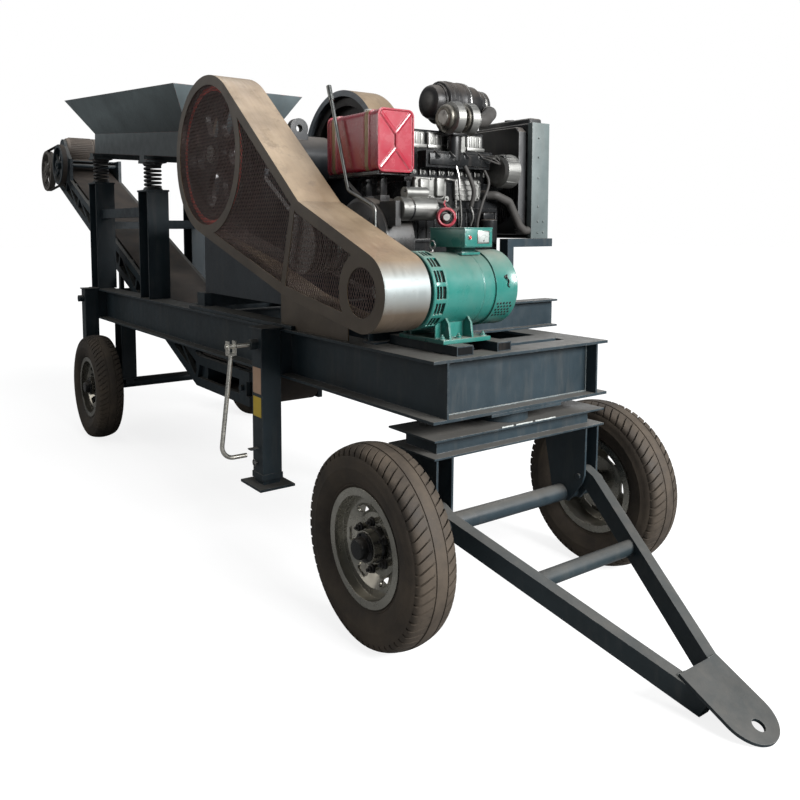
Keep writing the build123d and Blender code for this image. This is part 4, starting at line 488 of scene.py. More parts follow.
def hub(tag):
    """A dark hub cap, its ring of bolts, the wheel nuts and the valve."""
    wheel_x, side = wheel_places[tag]
    centre = (wheel_x, side * half_track, tyre_radius)
    out = side * y_axis
    shape = Shape(*centre)
    shape.lathe(here, out, [
        (0.056, 0.06), (0.056, 0.064), (0.042, 0.067), (0.04, 0.094), (0.036, 0.099), (0.012, 0.101)], 36)
    shape.hoop(here, out, [(0.068, 0.004), (0.068, 0.016), (0.0625, 0.022), (0.0625, 0.004)], 36)
    for x, z, _ in spread(6, 0.049):
        shape.bolt((x, side * 0.064, z), out, 0.01, washer=False)
    for x, z, _ in spread(6, 0.092, 30):
        shape.lathe((x, side * 0.022, z), out, [(0.019, 0), (0.016, 0.008)], 16)
        shape.bolt((x, side * 0.026, z), out, 0.024, washer=False, stud=0.008)
    shape.piece(f"hub_{tag}", "engine_black", f"wheel_{tag}")
    valve = Shape(*centre)
    stem = Vector((0.178, 0, 0.04)) + out * 0.028
    valve.tube(bent([stem, stem + out * 0.022, stem + out * 0.032 - 0.02 * x_axis], 0.01), 0.004, 8)
    valve.piece(f"valve_{tag}", "hose_rubber", f"wheel_{tag}")


for tag in wheel_places:
    tyre(tag)
    hub(tag)


# Feeder springs
spring_radius = 0.053
spring_wire = 0.0088
spring_height = 0.186
spring_turns = 7.4
column_y = 0.405


def springs():
    """Four coil springs, each wound between flat end turns and held in two cups."""
    low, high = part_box("feeder_springs")
    steps = 120
    shape = Shape()
    for x, base in ((-3.062, low.z), (-4.29, high.z - spring_height)):
        for y in (-column_y, column_y):
            path = []
            for k in range(steps + 1):
                share = k / steps
                angle = 2 * pi * spring_turns * share
                rise = min(max((share - 0.1) / 0.8, 0), 1)
                z = base + 0.003 + spring_wire + (spring_height - 0.006 - 2 * spring_wire) * rise
                path.append((x + spring_radius * cos(angle), y + spring_radius * sin(angle), z))
            shape.tube(path, spring_wire, 8)
            for z, up in ((base, z_axis), (base + spring_height, -z_axis)):
                shape.lathe((x, y, z), up, [
                    (0.0655, 0), (0.0655, 0.01), (0.0635, 0.01), (0.063, 0.003), (0.034, 0.003),
                    (0.034, 0.02), (0.028, 0.026)], 36)
    shape.piece("feeder_coils", "spring_steel", instead=("feeder_springs",))


springs()


# Belt guard's mesh, in X and Z
guard_big = (-1.555, 1.965)
guard_drum = (-0.1, 1.34)
guard_knee = (-0.58, 1.702)
guard_corner = (-0.7, 1.282)
guard_radius = 0.412
drum_radius = 0.158


def tangent(centre, radius, point, side):
    """Where the line from an outside point touches a circle."""
    reach = hypot(point[0] - centre[0], point[1] - centre[1])
    base = atan2(point[1] - centre[1], point[0] - centre[0])
    angle = base + side * acos(radius / reach)
    return centre[0] + radius * cos(angle), centre[1] + radius * sin(angle)


def guard_mesh():
    """Expanded metal: slim strands that meet in staggered bonds, cut off at the guard's outline."""
    inset = 0.008
    big = guard_radius - inset
    small = drum_radius - inset
    knee = (guard_knee[0], guard_knee[1] - inset)
    corner = (guard_corner[0], guard_corner[1] + inset)
    outline = [tangent(guard_big, big, knee, 1), knee, tangent(guard_drum, small, knee, -1),
               tangent(guard_drum, small, corner, 1), corner, tangent(guard_big, big, corner, -1)]

    def inside(x, z):
        for centre, radius in ((guard_big, big), (guard_drum, small)):
            if hypot(x - centre[0], z - centre[1]) < radius:
                return True
        odd = False
        for (ax, az), (bx, bz) in zip(outline, outline[1:] + outline[:1]):
            if (az > z) != (bz > z) and x < (bx - ax) * (z - az) / (bz - az) + ax:
                odd = not odd
        return odd

    low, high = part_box("belt_guard_mesh")
    mid_y = (low.y + high.y) / 2
    wide = 0.017
    tall = 0.036
    shape = Shape()
    for i in range(int((high.x - low.x) / wide * 2) + 2):
        x = low.x - front_axle_x + i * wide / 2
        for j in range(int((high.z - low.z) / tall) + 2):
            z = low.z + (j + 0.5 * (i % 2)) * tall
            for rise in (-0.5, 0.5):
                end_x, end_z = x + wide / 2, z + rise * tall
                if inside(x, z) and inside(end_x, end_z):
                    strand = [(x, mid_y - 0.0012 * rise, z), (end_x, mid_y + 0.0012 * rise, end_z)]
                    shape.tube(strand, 0, 4, flat=(0.0016, 0.0011))
    shape.piece("expanded_mesh", "mesh_paint", instead=("belt_guard_mesh",), angle=60)


def sheave_rim():
    """The painted near side of the crusher sheave's rim, which shows red through the mesh."""
    rim_red = paint("rim red", (0.85, 0.1, 0.075), rough=0.4, dust=0.1, wear=0.2, variety=0.2)
    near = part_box("crusher_sheave")[0].y
    shape = Shape(guard_big[0], near, guard_big[1])
    profile = [
        (0.336, -0.001), (0.336, 0.0015), (0.339, 0.0025), (0.362, 0.0025), (0.365, 0.0015), (0.365, -0.001)]
    shape.hoop(here, -y_axis, profile, 96)
    shape.piece("sheave_rim_face", rim_red, "crusher_rotor")


guard_mesh()
sheave_rim()


# Generator
generator_x = -0.1
generator_z = 1.338
generator_radius = 0.159


def around(radius, bearing):
    """X and Z of a point round an axis; a bearing of 0 degrees looks forward."""
    return radius * cos(radians(bearing)), radius * sin(radians(bearing))


def generator():
    """The frame ring with its vent slots, the drum, the cover band, the end bell and the gusseted feet."""
    low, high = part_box("generator")
    origin = (generator_x, low.y, generator_z)
    length = high.y - low.y
    base = low.z - generator_z
    r = generator_radius
    band_near = 0.326
    band_far = 0.444
    shape = Shape(*origin)
    shape.lathe(here, y_axis, [
        (0.034, 0), (0.045, 0.004), (0.12, 0.004), (0.126, 0), (r - 0.004, 0), (r, 0.004), (r, 0.013),
        (r - 0.011, 0.013), (r - 0.011, 0.06), (r, 0.06), (r, 0.07), (r - 0.006, 0.073), (r - 0.008, 0.09),
        (r - 0.007, 0.26), (r - 0.009, 0.263), (r - 0.009, 0.267), (r - 0.007, 0.27), (r - 0.007, band_near),
        (r, band_near), (r, band_near + 0.003), (r - 0.0015, band_near + 0.006),
        (r - 0.0015, band_far - 0.008), (r, band_far - 0.005), (r, band_far), (r - 0.006, band_far + 0.005),
        (r - 0.018, band_far + 0.014), (r - 0.05, band_far + 0.024), (0.07, band_far + 0.03),
        (0.052, band_far + 0.034), (0.048, length - 0.01), (0.04, length)], 96)
    for k in range(15):
        bearing = 24 * k + 12
        x, z = around(r - 0.0055, bearing)
        shape.block((x, 0.0365, z), (0.011, 0.047, 0.017), 0.0012, (-bearing, "Y"))
        for slot_y in (0.026, 0.041):
            for step in range(-2, 3):
                spot = bearing + 12 + step * 3.6
                x, z = around(r - 0.003, spot)
                shape.block((x, slot_y, z), (0.005, 0.0045, 0.0105), 0, (-spot, "Y"))
    shape.block((0, 0.183, base + 0.009), (0.29, 0.25, 0.018), 0.003)
    foot_top = -0.123
    for side in (-1, 1):
        for fin_y in (0.1, 0.216):
            corners = [(0.138, base + 0.018), (0.128, foot_top - 0.005), (0.11, foot_top + 0.017),
                       (0.075, foot_top), (0.075, base + 0.018)]
            shape.rings([[(side * x, y, z) for x, z in corners] for y in (fin_y - 0.005, fin_y + 0.005)])
        shape.block((side * 0.078, 0.158, (base + foot_top) / 2), (0.008, 0.18, foot_top - base), 0.001)
        for bolt_y in (0.073, 0.158, 0.288):
            shape.bolt((side * 0.118, bolt_y, base + 0.018), z_axis, 0.018, stud=0.006)
    shape.block((0.01, 0.26, 0.159), (0.1, 0.075, 0.04), 0.003)
    shape.block((0.01, 0.26, 0.146), (0.13, 0.1, 0.012), 0.002)
    shape.piece("generator_frame", "generator_teal", instead=("generator",), angle=30)

    dark = Shape(*origin)
    dark.hoop(here, y_axis, [
        (r - 0.0102, 0.014), (r - 0.0102, 0.059), (r - 0.014, 0.059), (r - 0.014, 0.014)], 64)
    for row in range(5):
        for hole in range(5):
            x, z = around(r - 0.0018, -22 - row * 5.4)
            spot = (x, band_near + 0.018 + hole * 0.0172 + 0.0086 * (row % 2), z)
            dark.lathe(spot, (x, 0, z), [(0.0056, 0), (0.0056, 0.0006)], 10)
    x, z = around(r, 12)
    latch = band_near + 0.06
    dark.tube(bent([
        (x - 0.002, latch, z + 0.026), (x + 0.0035, latch - 0.004, z + 0.014),
        (x + 0.004, latch + 0.01, z - 0.002), (x + 0.004, latch, z - 0.018),
        (x + 0.001, latch + 0.014, z - 0.026)], 0.01), 0.0028, 8)
    dark.bolt((x - 0.005, latch - 0.004, z + 0.016), (1, 0, 0.2), 0.009)
    dark.piece("generator_vents", "engine_black", angle=30)

    x, z = around(r - 0.006, 108)
    eye = Shape(generator_x + x, low.y + 0.156, generator_z + z)
    eye.lathe(here, z_axis, [(0.013, -0.002), (0.013, 0.004), (0.007, 0.008), (0.006, 0.02)], 16)
    eye.tube(circle((0, 0, 0.034), 0.017), 0.0036, 8)
    eye.piece("generator_eye", "bright_steel")


def control_box():
    """The generator's control box: a folded lid with screws, a lamp and a meter with a plain scale."""
    middle = (generator_x + 0.01, -0.1575, 1.549)
    face_x = 0.1096
    lamp = (face_x, -0.0485, 0)
    meter_y, meter_z = 0.024, 0.0015
    pivot_z = -0.012
    shape = Shape(*middle)
    shape.block(here, (0.216, 0.151, 0.079), 0.003)
    shape.block((0, 0, 0.0375), (0.22, 0.155, 0.006), 0.002)
    shape.block((0.1078, 0, -0.001), (0.0035, 0.147, 0.069), 0.001)
    for screw_y in (-0.068, 0.068):
        for screw_z in (-0.0305, 0.0245):
            shape.lathe((0.1095, screw_y, screw_z), x_axis, [(0.0034, 0), (0.0028, 0.0016), (0, 0.0018)], 12)
    shape.piece("control_box", "generator_teal")

    bezel = Shape(*middle)
    bezel.hoop(lamp, x_axis, [
        (0.0095, 0), (0.0095, 0.002), (0.0075, 0.0035), (0.0066, 0.002), (0.0066, 0)], 24)
    bezel.block((face_x + 0.0015, meter_y, meter_z), (0.003, 0.064, 0.052), 0.0012)
    bezel.piece("box_bezels", "bright_steel")
    bulb = Shape(*middle)
    bulb.lathe(lamp, x_axis, [(0.0065, 0), (0.0065, 0.003), (0.0045, 0.0062), (0, 0.0075)], 20)
    lamp_red = paint("lamp red", (0.5, 0.012, 0.016), rough=0.12, dust=0.05, wear=0.0, variety=0.1,
                     relief=0.02, coat=0.6)
    bulb.piece("box_lamp", lamp_red)
    dial = Shape(*middle)
    dial.block((face_x + 0.0032, meter_y, meter_z), (0.0012, 0.055, 0.043), 0.0003)
    dial_white = paint("dial white", (0.26, 0.28, 0.27), rough=0.4, dust=0.1, wear=0.0, variety=0.08,
                       relief=0.05)
    dial.piece("meter_dial", dial_white)
    marks = Shape(*middle)
    for k in range(13):
        bearing = 38 + k * 104 / 12
        y, z = around(0.022, bearing)
        length = 0.005 if k % 3 == 0 else 0.003
        spot = (face_x + 0.00395, meter_y - y, pivot_z + z)
        marks.block(spot, (0.0003, 0.0007, length), 0, (90 - bearing, "X"))
    needle = face_x + 0.0041
    marks.tube([(needle, meter_y, pivot_z), (needle, meter_y + 0.01, pivot_z + 0.016)], 0.0004, 5)
    marks.lathe((face_x + 0.0038, meter_y, pivot_z - 0.001), x_axis, [(0.003, 0), (0.003, 0.0008)], 12)
    marks.piece("meter_marks", "engine_black")


generator()
control_box()


# Fuel tank
def rounded_outline(half_y, half_z, radius, steps=6):
    """A rectangle with round corners, as (y, z) points."""
    points = []
    for corner, (sy, sz) in enumerate(((1, 1), (-1, 1), (-1, -1), (1, -1))):
        for k in range(steps + 1):
            y, z = around(radius, 90 * corner + 90 * k / steps)
            points.append((sy * (half_y - radius) + y, sz * (half_z - radius) + z))
    return points


def fuel_tank():
    """A pressed tank: seamed ends with raised ribs that run to the corners, on a strap bracket."""
    middle = (-0.589, -0.2725, 1.964)
    half_x, half_y, half_z = 0.206, 0.0975, 0.136
    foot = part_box("fuel_tank")[0].z - middle[2]
    strap_places = (-0.149, 0.117)
    rib = (0.0068, 0.0105)

    def skin(*stations):
        """Loops round the tank at (x, inset) stations."""
        return [[(x, y, z) for y, z in rounded_outline(half_y - inset, half_z - inset, 0.03 - inset * 0.5)]
                for x, inset in stations]

    shape = Shape(*middle)
    shape.rings(skin(
        (-half_x, 0.01), (-half_x, 0.001), (0.002 - half_x, 0), (0.009 - half_x, 0), (0.011 - half_x, 0.004),
        (half_x - 0.013, 0.004), (half_x - 0.011, 0), (half_x - 0.003, 0), (half_x - 0.001, 0.001),
        (half_x - 0.001, 0.007), (half_x - 0.006, 0.01)))
    for out in (1, -1):
        end_x = out * (half_x - 0.007)
        centres = [Vector((end_x + out * 0.0005, 0, sign * 0.032)) for sign in (1, -1)]
        for centre in centres:
            for side in (-1, 1):
                sign = 1 if centre.z > 0 else -1
                corner = Vector((end_x - out * 0.001, side * (half_y - 0.018), sign * (half_z - 0.018)))
                shape.tube(curve_through([corner, (corner + centre) / 2, centre], 4), 0, 10, flat=rib)
        shape.tube(centres, 0, 10, flat=rib)
    for x in strap_places:
        shape.rings(skin((x - 0.024, 0.0025), (x - 0.02, 0.0005), (x + 0.02, 0.0005), (x + 0.024, 0.0025)))
    shape.piece("fuel_tank_shell", "tank_red", instead=("fuel_tank",))

    straps = Shape(*middle)
    for x in strap_places:
        edges = (x - 0.013, x + 0.013)
        straps.rings(skin((edges[0], 0.0005), (edges[0], -0.0001), (edges[1], -0.0001), (edges[1], 0.0005)))
    strap_gold = paint("strap gold", (0.17, 0.115, 0.06), rough=0.4, metallic=0.3, dust=0.2, wear=0.2)
    straps.piece("tank_straps", strap_gold)

    cap = Shape(-0.59, middle[1], middle[2] + half_z)
    cap.lathe((0, 0, -0.003), z_axis, [
        (0.022, 0), (0.022, 0.006), (0.024, 0.007), (0.024, 0.019), (0.021, 0.0225)], 28)
    for x, y, turn in spread(14, 0.0232):
        cap.block((x, y, 0.01), (0.0025, 0.0035, 0.011), 0.0008, (-turn, "Z"))
    cap.piece("tank_cap", "bright_steel")

    bracket = Shape(*middle)
    for side in (-1, 1):
        y = side * (half_y - 0.012)
        bracket.block((0, y, -half_z - 0.009), (2 * half_x - 0.012, 0.018, 0.006), 0.001)
        bracket.block((0, y + side * 0.0045, -half_z - 0.003), (2 * half_x - 0.012, 0.004, 0.012), 0.001)
    for x in (0.03 - half_x, 0, half_x - 0.03):
        bracket.block((x, 0, -half_z - 0.0085), (0.03, 2 * half_y - 0.02, 0.005), 0.001)
    leg_top = -half_z - 0.012
    for leg_x in (-0.091, 0.029):
        bracket.block((leg_x, 0.0475, (foot + leg_top) / 2), (0.036, 0.036, leg_top - foot), 0.002)
        for bolt_z in (-0.174, -0.204):
            bracket.bolt((leg_x, 0.029, bolt_z), -y_axis, 0.014)
    bracket.piece("tank_bracket", "engine_black")


fuel_tank()


# Air filter
def air_filter():
    """A ribbed filter drum with a clamp ring, its end cover and two straps."""
    low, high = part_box("air_filter")
    filter_x, filter_z = -0.64, 2.196
    near, far = low.y + 0.035, high.y - 0.045
    foot = low.z - filter_z
    r = 0.1055

    def at(share):
        return near + share * (far - near)

    shape = Shape(filter_x, 0, filter_z)
    shape.lathe(here, y_axis, [
        (0.04, near), (0.062, at(0.012)), (0.076, at(0.04)), (0.082, at(0.08)), (0.083, at(0.15)),
        (0.089, at(0.155)), (0.089, at(0.18)), (r - 0.006, at(0.19)), (r - 0.002, at(0.205)),
        (r - 0.002, at(0.34)), (r, at(0.345)), (r, at(0.365)), (r - 0.002, at(0.37)), (r - 0.002, at(0.53)),
        (r, at(0.54)), (r, at(0.585)), (r - 0.006, at(0.595)), (0.094, at(0.61)), (0.094, at(0.75)),
        (0.086, at(0.8)), (0.078, at(0.83)), (0.078, at(0.96)), (0.072, far - 0.006), (0.05, far)], 56)
    for strap_y in (0.205, 0.285):
        shape.block((0, strap_y, (foot - 0.09) / 2), (0.046, 0.026, -0.09 - foot), 0.003)
        shape.hoop((0, strap_y, 0), y_axis, [
            (r - 0.003, -0.012), (r + 0.0004, -0.012), (r + 0.0004, 0.012), (r - 0.003, 0.012)], 48)
    shape.piece("filter_drum", "filter_black", instead=("air_filter",), angle=30)
    clamp = Shape(filter_x, 0, filter_z)
    clamp.hoop((0, at(0.562), 0), y_axis, [
        (r - 0.0005, -0.006), (r + 0.0004, -0.0045), (r + 0.0004, 0.0045), (r - 0.0005, 0.006)], 56)
    clamp.hoop((0, at(0.9), 0), y_axis, [
        (0.0775, -0.007), (0.0795, -0.006), (0.0795, 0.006), (0.0775, 0.007)], 48)
    clamp.piece("filter_clamps", "bright_steel")


air_filter()


# Radiator
fan_place = (-0.62, 0, 1.77)


def radiator():
    """A finned core between side channels, with a pressed top tank, a shroud ring and a filler cap."""
    low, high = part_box("radiator")
    half = 0.222
    near, far = 0.575, high.y
    bottom, top = low.z - fan_place[2], 0.338
    mid_y, mid_z = (near + far) / 2, (bottom + top) / 2
    deep, tall = far - near, top - bottom
    frame_shape = Shape(*fan_place)
    bolts = [(near + 0.045, z) for z in (bottom + 0.03, bottom + 0.085, bottom + 0.16, bottom + 0.3,
                                         top - 0.17, top - 0.075)]
    bolts += [(near + 0.085, z) for z in (bottom + 0.03, bottom + 0.085)]
    for side in (-1, 1):
        x = side * (half - 0.003)
        frame_shape.block((x, mid_y, mid_z), (0.006, deep, tall), 0.001)
        for y in (near + 0.002, far - 0.002):
            frame_shape.block((x - side * 0.014, y, mid_z), (0.03, 0.004, tall), 0.001)
        for y, z in bolts:
            frame_shape.bolt((x + side * 0.0022, y, z), side * x_axis, 0.009, washer=False)
    channel_grey = paint("channel grey", (0.075, 0.092, 0.092), rough=0.4, dust=0.3, wear=0.4)
    frame_shape.piece("radiator_channels", channel_grey, instead=("radiator",))

    body = Shape(*fan_place)
    for z, height in ((top - 0.028, 0.056), (bottom + 0.03, 0.06)):
        body.block((0, mid_y, z), (2 * half - 0.014, deep - 0.012, height), 0.01, steps=3)
    body.block((0, mid_y - 0.004, top + 0.004), (2 * half - 0.062, 0.088, 0.046), 0.016, steps=3)
    body.lathe((0, mid_y, top + 0.024), z_axis, [
        (0.021, 0), (0.021, 0.005), (0.0255, 0.006), (0.0255, 0.0115), (0, 0.013)], 28)
    for side in (-1, 1):
        body.block((side * 0.018, mid_y, top + 0.0345), (0.016, 0.009, 0.006), 0.002)
    hole, square = [], []
    for angle in evenly(64, 180 / 64):
        c, s = cos(angle), sin(angle)
        wall_z = top - 0.02 if s > 0 else -bottom - 0.02
        reach = min(0.176 / abs(c), wall_z / abs(s))
        hole.append((0.17 * c, 0.17 * s))
        square.append((reach * c, reach * s))
    front = 0.53
    stations = [
        (square, 1, 1, near + 0.002), (square, 1, 1, front + 0.006), (square, 0.985, 0.99, front),
        (hole, 1.035, 1.035, front + 0.0005), (hole, 1, 1, front + 0.0005), (hole, 1, 1, near + 0.002)]
    stations.append(stations[0])
    body.rings([[(x * wide, y, z * high) for x, z in outline] for outline, wide, high, y in stations],
               closed_ends=False)
    for z in (bottom + 0.04, top - 0.035):
        for x in (-0.16, 0.16):
            body.bolt((x, front + 0.001, z), -y_axis, 0.01)
    body.piece("radiator_tanks", "radiator_black", angle=30)

    core = Shape(*fan_place)
    fin_top, fin_bottom = top - 0.05, bottom + 0.055
    tubes = 26
    for k in range(tubes):
        x = 0.02 - half + k * (2 * half - 0.04) / (tubes - 1)
        core.block((x, mid_y, (fin_top + fin_bottom) / 2), (0.0032, deep - 0.018, fin_top - fin_bottom), 0)
    fins = 84
    for k in range(fins):
        z = fin_bottom + (k + 0.5) * (fin_top - fin_bottom) / fins
        core.block((0, mid_y, z), (2 * half - 0.03, deep - 0.026, 0.0009), 0)
    core.piece("radiator_core", "radiator_black")


def fan():
    """Six twisted blades on a riveted spider."""
    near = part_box("cooling_fan")[0].y
    blade_y = 0.512
    blade = [(0.04, 38, 0.034), (0.075, 33, 0.048), (0.11, 28, 0.058), (0.15, 24, 0.06), (0.157, 23, 0.052)]
    shape = Shape(*fan_place)
    shape.lathe((0, near, 0), y_axis, [
        (0.038, 0), (0.045, 0.004), (0.045, 0.05), (0.03, 0.056), (0.03, 0.083)], 28)
    for angle in evenly(6):
        spin = Matrix.Rotation(angle, 4, "Y")
        loops = []
        for r, twist, wide in blade:
            c, s = around(wide / 2, twist)
            loop = [(u * c, u * s - bow, r) for u, bow in ((-1, 0), (-0.4, 0.004), (0.3, 0.004), (1, 0))]
            loop += [(x, y + 0.0022, z) for x, y, z in reversed(loop)]
            loops.append([spin @ Vector(point) + blade_y * y_axis for point in loop])
        shape.rings(loops)
    shape.piece("fan_blades", "radiator_black", "fan", instead=("cooling_fan",))


radiator()
fan()


# Conveyor motor
def conveyor_motor():
    """A finned motor with its fan cowl, foot plate and lifting eye."""
    low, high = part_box("conveyor_motor")
    motor_z = 2.392
    length = high.y - low.y
    middle = length / 2
    base = low.z - motor_z
    shape = Shape(-6.15, low.y, motor_z)
    shape.lathe(here, y_axis, [
        (0.104, 0), (0.109, 0.006), (0.114, 0.024), (0.114, length - 0.094), (0.109, length - 0.088),
        (0.117, length - 0.086), (0.118, length - 0.014), (0.106, length - 0.003), (0.06, length)], 64)
    for x, z, turn in spread(40, 0.1145, 4.5):
        if z > -0.1065:
            shape.block((x, middle - 0.036, z), (0.011, length - 0.135, 0.0034), 0.0008, (turn, "Y"))
    for x, z, turn in spread(8, 0.045):
        shape.block((x, length - 0.0008, z), (0.045, 0.003, 0.004), 0, (turn, "Y"))
    shape.block((0, middle - 0.02, base + 0.008), (0.198, 0.208, 0.016), 0.003)
    for foot_x in (-0.084, 0.084):
        for foot_y in (-0.09, 0.05):
            shape.bolt((foot_x, middle + foot_y, base + 0.015), z_axis, 0.016)
    shape.tube(circle((0, middle, high.z - motor_z - 0.011), 0.01, steps=20), 0.003, 8)
    shape.piece("motor_shell", "motor_brown", instead=("conveyor_motor",), angle=30)


conveyor_motor()


# Engine fittings; face and head are how far the block and its head reach forward of the middle
engine_x = -0.62
face = 0.15
head = 0.12
cylinders = (-0.062, 0.058, 0.178, 0.298)


def rocker_covers():
    """Four ribbed alloy covers in a row along the head, each with its bolts."""
    shape = Shape(engine_x)
    for mid_y in cylinders:
        shape.block((0.005, mid_y, 1.9985), (0.205, 0.104, 0.075), 0.014, steps=3)
        shape.block((0.005, mid_y, 1.966), (0.222, 0.114, 0.018), 0.004)
        for rib_y in (-0.03, 0, 0.03):
            shape.block((0.109, mid_y + rib_y, 1.998), (0.006, 0.012, 0.055), 0.002)
        for bolt_x in (-0.06, 0.07):
            shape.bolt((bolt_x, mid_y, 2.0355), z_axis, 0.013)
    shape.piece("rocker_covers", "engine_alloy")


def engine_sides():
    """Castings on the engine's forward side: fins, cover plates, the pump body and rows of bolts."""
    bright = Shape(engine_x)
    for k in range(9):
        bright.block((head + 0.004, -0.11 + k * 0.056, 1.846), (0.014, 0.01, 0.028), 0.002)
        bright.bolt((head + 0.002, -0.085 + k * 0.056, 1.846), x_axis, 0.012)
    bright.block((face + 0.012, -0.03, 1.768), (0.026, 0.19, 0.105), 0.01, steps=3)
    bright.block((face + 0.03, -0.075, 1.776), (0.02, 0.058, 0.072), 0.012, steps=3)
    bright.block((face + 0.032, 0.014, 1.774), (0.024, 0.05, 0.09), 0.012, steps=3)
    for y in (-0.118, -0.03, 0.056):
        bright.lathe((face + 0.02, y, 1.722), x_axis, [(0.015, 0), (0.013, 0.016)], 20)
        bright.bolt((face + 0.035, y, 1.722), x_axis, 0.011, washer=False)
        bright.bolt((face + 0.024, y, 1.812), x_axis, 0.011, washer=False)
    outline = rounded_outline(0.083, 0.052, 0.018, 5)
    bright.rings([[(face + x, 0.203 + y * s, 1.766 + z * s) for y, z in outline]
                  for x, s in ((0, 1), (0.012, 1), (0.016, 0.95), (0.017, 0.9), (0.011, 0.86), (0.011, 0.5))])
    for rib in (-0.024, 0, 0.024):
        bright.block((face + 0.012, 0.203, 1.766 + rib), (0.006, 0.118, 0.005), 0.0015)
    for z in (1.805, 1.727):
        for y in (0.135, 0.27):
            bright.bolt((face + 0.012, y, z), x_axis, 0.01, washer=False)
    bright.bolt((face + 0.012, 0.245, 1.768), x_axis, 0.015)
    bright.piece("side_castings", "engine_alloy")

    dark = Shape(engine_x)
    dark.block((head + 0.066, 0.13, 1.902), (0.012, 0.36, 0.052), 0.005)
    for y in (-0.02, 0.07, 0.16, 0.25):
        dark.tube(bent([
            (head, y, 1.9), (head + 0.04, y, 1.9), (head + 0.066, y + 0.02, 1.93)], 0.03), 0.021, 14)
    dark.tube(bent([(0.165, 0.113, 1.9), (0.168, 0.113, 1.975), (0.165, 0.118, 2.03)], 0.03), 0.034, 18)
    dark.block((0.168, 0.115, 2.018), (0.085, 0.085, 0.012), 0.003)
    for k in range(12):
        dark.block((face + 0.001, -0.13 + k * 0.048, 1.6), (0.01, 0.01, 0.13), 0.002)
    for z in (1.672, 1.53):
        dark.block((face + 0.003, 0.13, z), (0.014, 0.54, 0.018), 0.003)
    dark.block((0, 0.13, 1.397), (0.33, 0.565, 0.016), 0.003)
    for k in range(10):
        dark.bolt((face + 0.007, -0.12 + k * 0.056, 1.389), -z_axis, 0.011, washer=False)
    dark.lathe((face + 0.036, 0.32, 1.6), -z_axis, [
        (0.03, -0.03), (0.041, -0.024), (0.041, 0.07), (0.036, 0.08), (0, 0.083)], 30)
    dark.block((face + 0.015, 0.32, 1.645), (0.05, 0.07, 0.03), 0.006)
    dark.piece("side_fittings", "engine_black")


def pipes():
    """Bright oil pipes, the black harness and hoses on the engine's forward side."""
    bright = Shape(engine_x)
    for y in cylinders:
        bright.bolt((0.112, y, 1.952), (0.6, 0, 0.8), 0.011, washer=False)
    bright.tube(curve_through([
        (0.18, 0.116, 1.875), (0.19, 0.125, 1.82), (0.19, 0.132, 1.74), (0.18, 0.15, 1.635),
        (0.165, 0.155, 1.58)]), 0.006)
    bright.tube(curve_through([(0.18, 0.203, 1.7), (0.18, 0.224, 1.645), (0.16, 0.226, 1.6)]), 0.007)
    bright.tube(bent([
        (0.18, 0.04, 1.812), (0.195, 0.05, 1.812), (0.195, 0.098, 1.808),
        (0.195, 0.104, 1.63)], 0.015), 0.0055)
    bright.piece("engine_pipes", "bright_steel")

    dark = Shape(engine_x)
    dark.tube(curve_through([
        (0.18, 0.165, 1.884), (0.195, 0.185, 1.83), (0.2, 0.21, 1.76), (0.185, 0.208, 1.69)]), 0.0105, 12)
    dark.tube(curve_through([
        (0.17, 0.3, 1.87), (0.195, 0.31, 1.8), (0.19, 0.272, 1.7), (0.18, 0.255, 1.62),
        (0.17, 0.262, 1.56)]), 0.007)
    dark.tube(curve_through([
        (0.16, -0.14, 1.7), (0.22, -0.1, 1.715), (0.25, -0.02, 1.7), (0.22, 0.06, 1.665),
        (0.19, 0.12, 1.68)]), 0.009)
    for k in range(3):
        dark.tube(curve_through([
            (0.165, 0.3 - k * 0.02, 1.93), (0.22, 0.335 - k * 0.02, 1.925 - k * 0.01), (0.235, 0.36, 1.89),
            (0.21, 0.4, 1.935 - k * 0.006)]), 0.0045, 8)
    dark.piece("engine_hoses", "hose_rubber")


